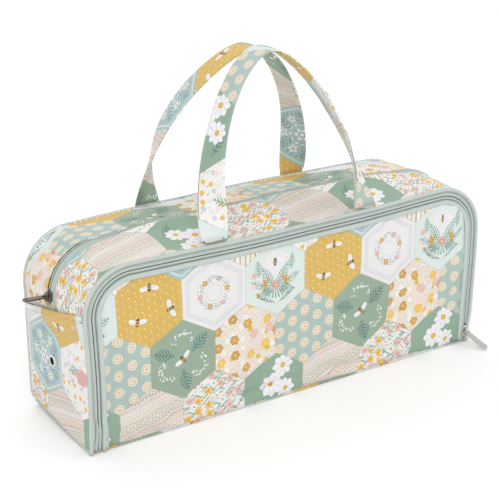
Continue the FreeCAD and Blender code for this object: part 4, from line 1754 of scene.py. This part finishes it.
def pocket(name, node, body, channels):
    """A slip pocket with a folded hem along its open top and stitched channels."""
    low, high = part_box(node)
    outer_y = low.y if body == "bag" else high.y + 3.2 * mm
    sign = -1.0 if body == "bag" else 1.0

    def place(a, b):
        x = low.x + (high.x - low.x) * a
        z = low.z + (high.z - low.z) * b
        between = abs(math.sin(math.pi * channels * a))
        puff = 1.6 * mm * between * smooth_step(0.0, 0.25, b)
        sag = 1.0 * mm * between * smooth_step(0.8, 1.0, b)
        return Vector((x, outer_y + sign * puff, z - sag))
    piece = panel(name, 20 * channels + 1, 25, place, metric_uv(place, shift=0.02), 0.9 * mm,
                  finish["printed_cloth"], 1.0 if sign < 0 else -1.0)
    done(piece, "printed_cloth", body, [node])
    out = Vector((0.0, sign, 0.0))
    paths = []
    for k in range(channels + 1):
        a = min(max(k / channels, 0.006), 0.994)
        paths.append(([settle(place(a, b / 12)) + out * 0.15 * mm for b in range(13)], out))
    paths.append(([settle(place(a / 60, 0.92)) + out * 0.15 * mm for a in range(61)], out))
    stitches(name + "_stitches", paths, body, slot="piping_cord")


def pockets():
    pocket("needle_pocket_cloth", "needle_pocket", "bag", 8)
    pocket("flap_pocket_cloth", "flap_pocket", "flap", 3)


# ---------------------------------------------------------------- metal parts
slider_length = 11 * mm
slider_half = 3.6 * mm
top_slider_turn = 4.0                  # degrees round the left corner's zip arc


def slider_plate(guide, base, thickness, crown):
    """A boat-shaped plate of a slider, base above the tape and crowned on its upper face."""
    points = []
    section = flat_section(2.0, 1.0, 0.34, 4)
    steps = 12
    for k in range(steps + 1):
        share = k / steps
        t = (share - 0.5) * slider_length
        swell = math.sin(math.pi * (0.06 + 0.88 * share)) ** 0.35
        half = slider_half * (0.80 + 0.20 * math.sin(math.pi * (0.25 + 0.6 * share))) * swell
        high = thickness * (0.55 + 0.45 * swell)
        for a, c in section:
            lift = crown * swell * (1.0 - a * a) if c > 0 else 0.0
            points.append(guide(t, a * half, base + (c + 0.5) * high + lift))
    return points, tube_faces(len(section), steps + 1)


def slider_rail(guide, path, half_wide, half_high):
    """A round bar of a slider through places (t, a, b)."""
    points = []
    for t, a, b in path:
        for k in range(8):
            turn = 2.0 * math.pi * k / 8
            points.append(guide(t, a + half_wide * math.cos(turn), b + half_high * math.sin(turn)))
    return points, tube_faces(8, len(path))


def slider_lug(guide):
    """The arch on a slider that its pull hangs from."""
    points = []
    for k in range(13):
        turn = math.pi * k / 12
        for m in range(8):
            spin = 2.0 * math.pi * m / 8
            out = 0.62 * mm * math.cos(spin)
            points.append(guide(-math.cos(turn) * (3.6 * mm + out), 1.1 * mm * math.sin(spin),
                                2.9 * mm + math.sin(turn) * (4.1 * mm + out)))
    return points, tube_faces(8, 13)


def slider_parts(guide):
    """A cast slider: two boat-shaped plates, side lips, a wedge and an arched lug.

    guide(t, a, b) places a point t along the zip, a across it and b above the tape.
    """
    reach = 0.42 * slider_length
    parts = [slider_plate(guide, 2.0 * mm, 1.2 * mm, 0.5 * mm),
             slider_plate(guide, -3.0 * mm, 1.2 * mm, 0.0)]
    for sign in (-1.0, 1.0):
        lip = [(-reach * 0.8, sign * 3.1 * mm, 1.7 * mm), (0.0, sign * 3.3 * mm, 1.6 * mm),
               (reach, sign * 3.1 * mm, 1.7 * mm)]
        parts.append(slider_rail(guide, lip, 0.3 * mm, 0.6 * mm))
    parts.append(slider_rail(guide, [(reach * 0.3, 0.0, 0.0), (reach, 0.0, 0.0)], 0.28 * mm, 2.4 * mm))
    parts.append(slider_lug(guide))
    return parts


def sliders():
    low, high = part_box("front_slider")
    across = 0.5 * (low.x + high.x)
    height = 0.5 * (low.z + high.z)

    def front_guide(t, a, b):
        return Vector((across + a, tape_face - b, height + t))
    tape_radius = zip_arc_radius - 2.6 * mm
    start = math.radians(top_slider_turn)

    def top_guide(t, a, b):
        turn = start + t / tape_radius
        reach = tape_radius + b
        return Vector((-zip_arc_x - reach * math.cos(turn), a, zip_arc_z + reach * math.sin(turn)))
    for name, guide, slot, body in (("front_slider", front_guide, "bright_nickel", "slider_front"),
                                    ("top_slider", top_guide, "dark_nickel", "slider_top")):
        piece = joined(name + "_casting", slider_parts(guide), finish[slot])
        done(piece, slot, body, [name])


def metal_parts():
    """Carried-over metal parts keep their shape and get bevelled edges and plating."""
    nodes = {"front_pull": "bright_nickel", "top_pull": "dark_nickel",
             "yarn_eyelet": "eyelet_enamel", "yarn_eyelet_washer": "bright_nickel"}
    for node, slot in nodes.items():
        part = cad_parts[node]
        part.data.materials.clear()
        part.data.materials.append(finish[slot])
        bevel = part.modifiers.new("edges", "BEVEL")
        bevel.width = 0.35 * mm
        bevel.segments = 3
        bevel.limit_method = "ANGLE"
        bevel.angle_limit = math.radians(35.0)
        bevel.harden_normals = False


# ---------------------------------------------------------------- stage
def aimed(name, data, place, target):
    """A light or camera at a place, turned towards a target."""
    thing = placed(name, data)
    thing.location = place
    thing.rotation_mode = "QUATERNION"
    thing.rotation_quaternion = (target - Vector(place)).to_track_quat("-Z", "Y")
    return thing


def studio():
    scene = bpy.context.scene
    size = 6.0
    mesh = bpy.data.meshes.new("studio_floor")
    mesh.from_pydata([(-size, -size, 0), (size, -size, 0), (size, size, 0), (-size, size, 0)], [],
                     [(0, 1, 2, 3)])
    mesh.materials.append(stage_material())
    placed("studio_floor", mesh)

    world = bpy.data.worlds.new("studio")
    world.use_nodes = True
    world.node_tree.nodes["Background"].inputs[0].default_value = (1.0, 1.0, 1.0, 1.0)
    world.node_tree.nodes["Background"].inputs[1].default_value = 0.88
    scene.world = world

    lights = (("key", (-1.1, -1.6, 1.9), 1.3, 17.0), ("fill", (1.7, -1.2, 1.2), 1.8, 6.0),
              ("rim", (0.4, 1.8, 1.7), 1.6, 8.0))
    aim = Vector((0.0, 0.0, 0.10))
    for name, place, width, power in lights:
        data = bpy.data.lights.new(name, "AREA")
        data.shape = "DISK"
        data.size = width
        data.energy = power
        aimed(name, data, place, aim)


def camera():
    """Seen from in front, a little to the eyelet end and above."""
    scene = bpy.context.scene
    data = bpy.data.cameras.new("camera")
    data.lens = 101.8
    data.sensor_width = 36.0
    data.shift_x = -0.0224
    data.shift_y = 0.0774
    data.clip_start = 0.05
    data.clip_end = 40.0
    turn = math.radians(34.0)
    tilt = math.radians(22.4)
    distance = 1.302
    target = Vector((0.0, 0.0, 0.084))
    back = Vector((-math.sin(turn) * math.cos(tilt), -math.cos(turn) * math.cos(tilt), math.sin(tilt)))
    scene.camera = aimed("camera", data, target + back * distance, target)
    scene.view_settings.view_transform = "Standard"


front_flap()
front_zip()
zip_end_folds()
back_panel()
back_piping()
base_panel()
end_panels()
top_strips()
top_zip()
handles()
linings()
pockets()
sliders()
metal_parts()
studio()
camera()
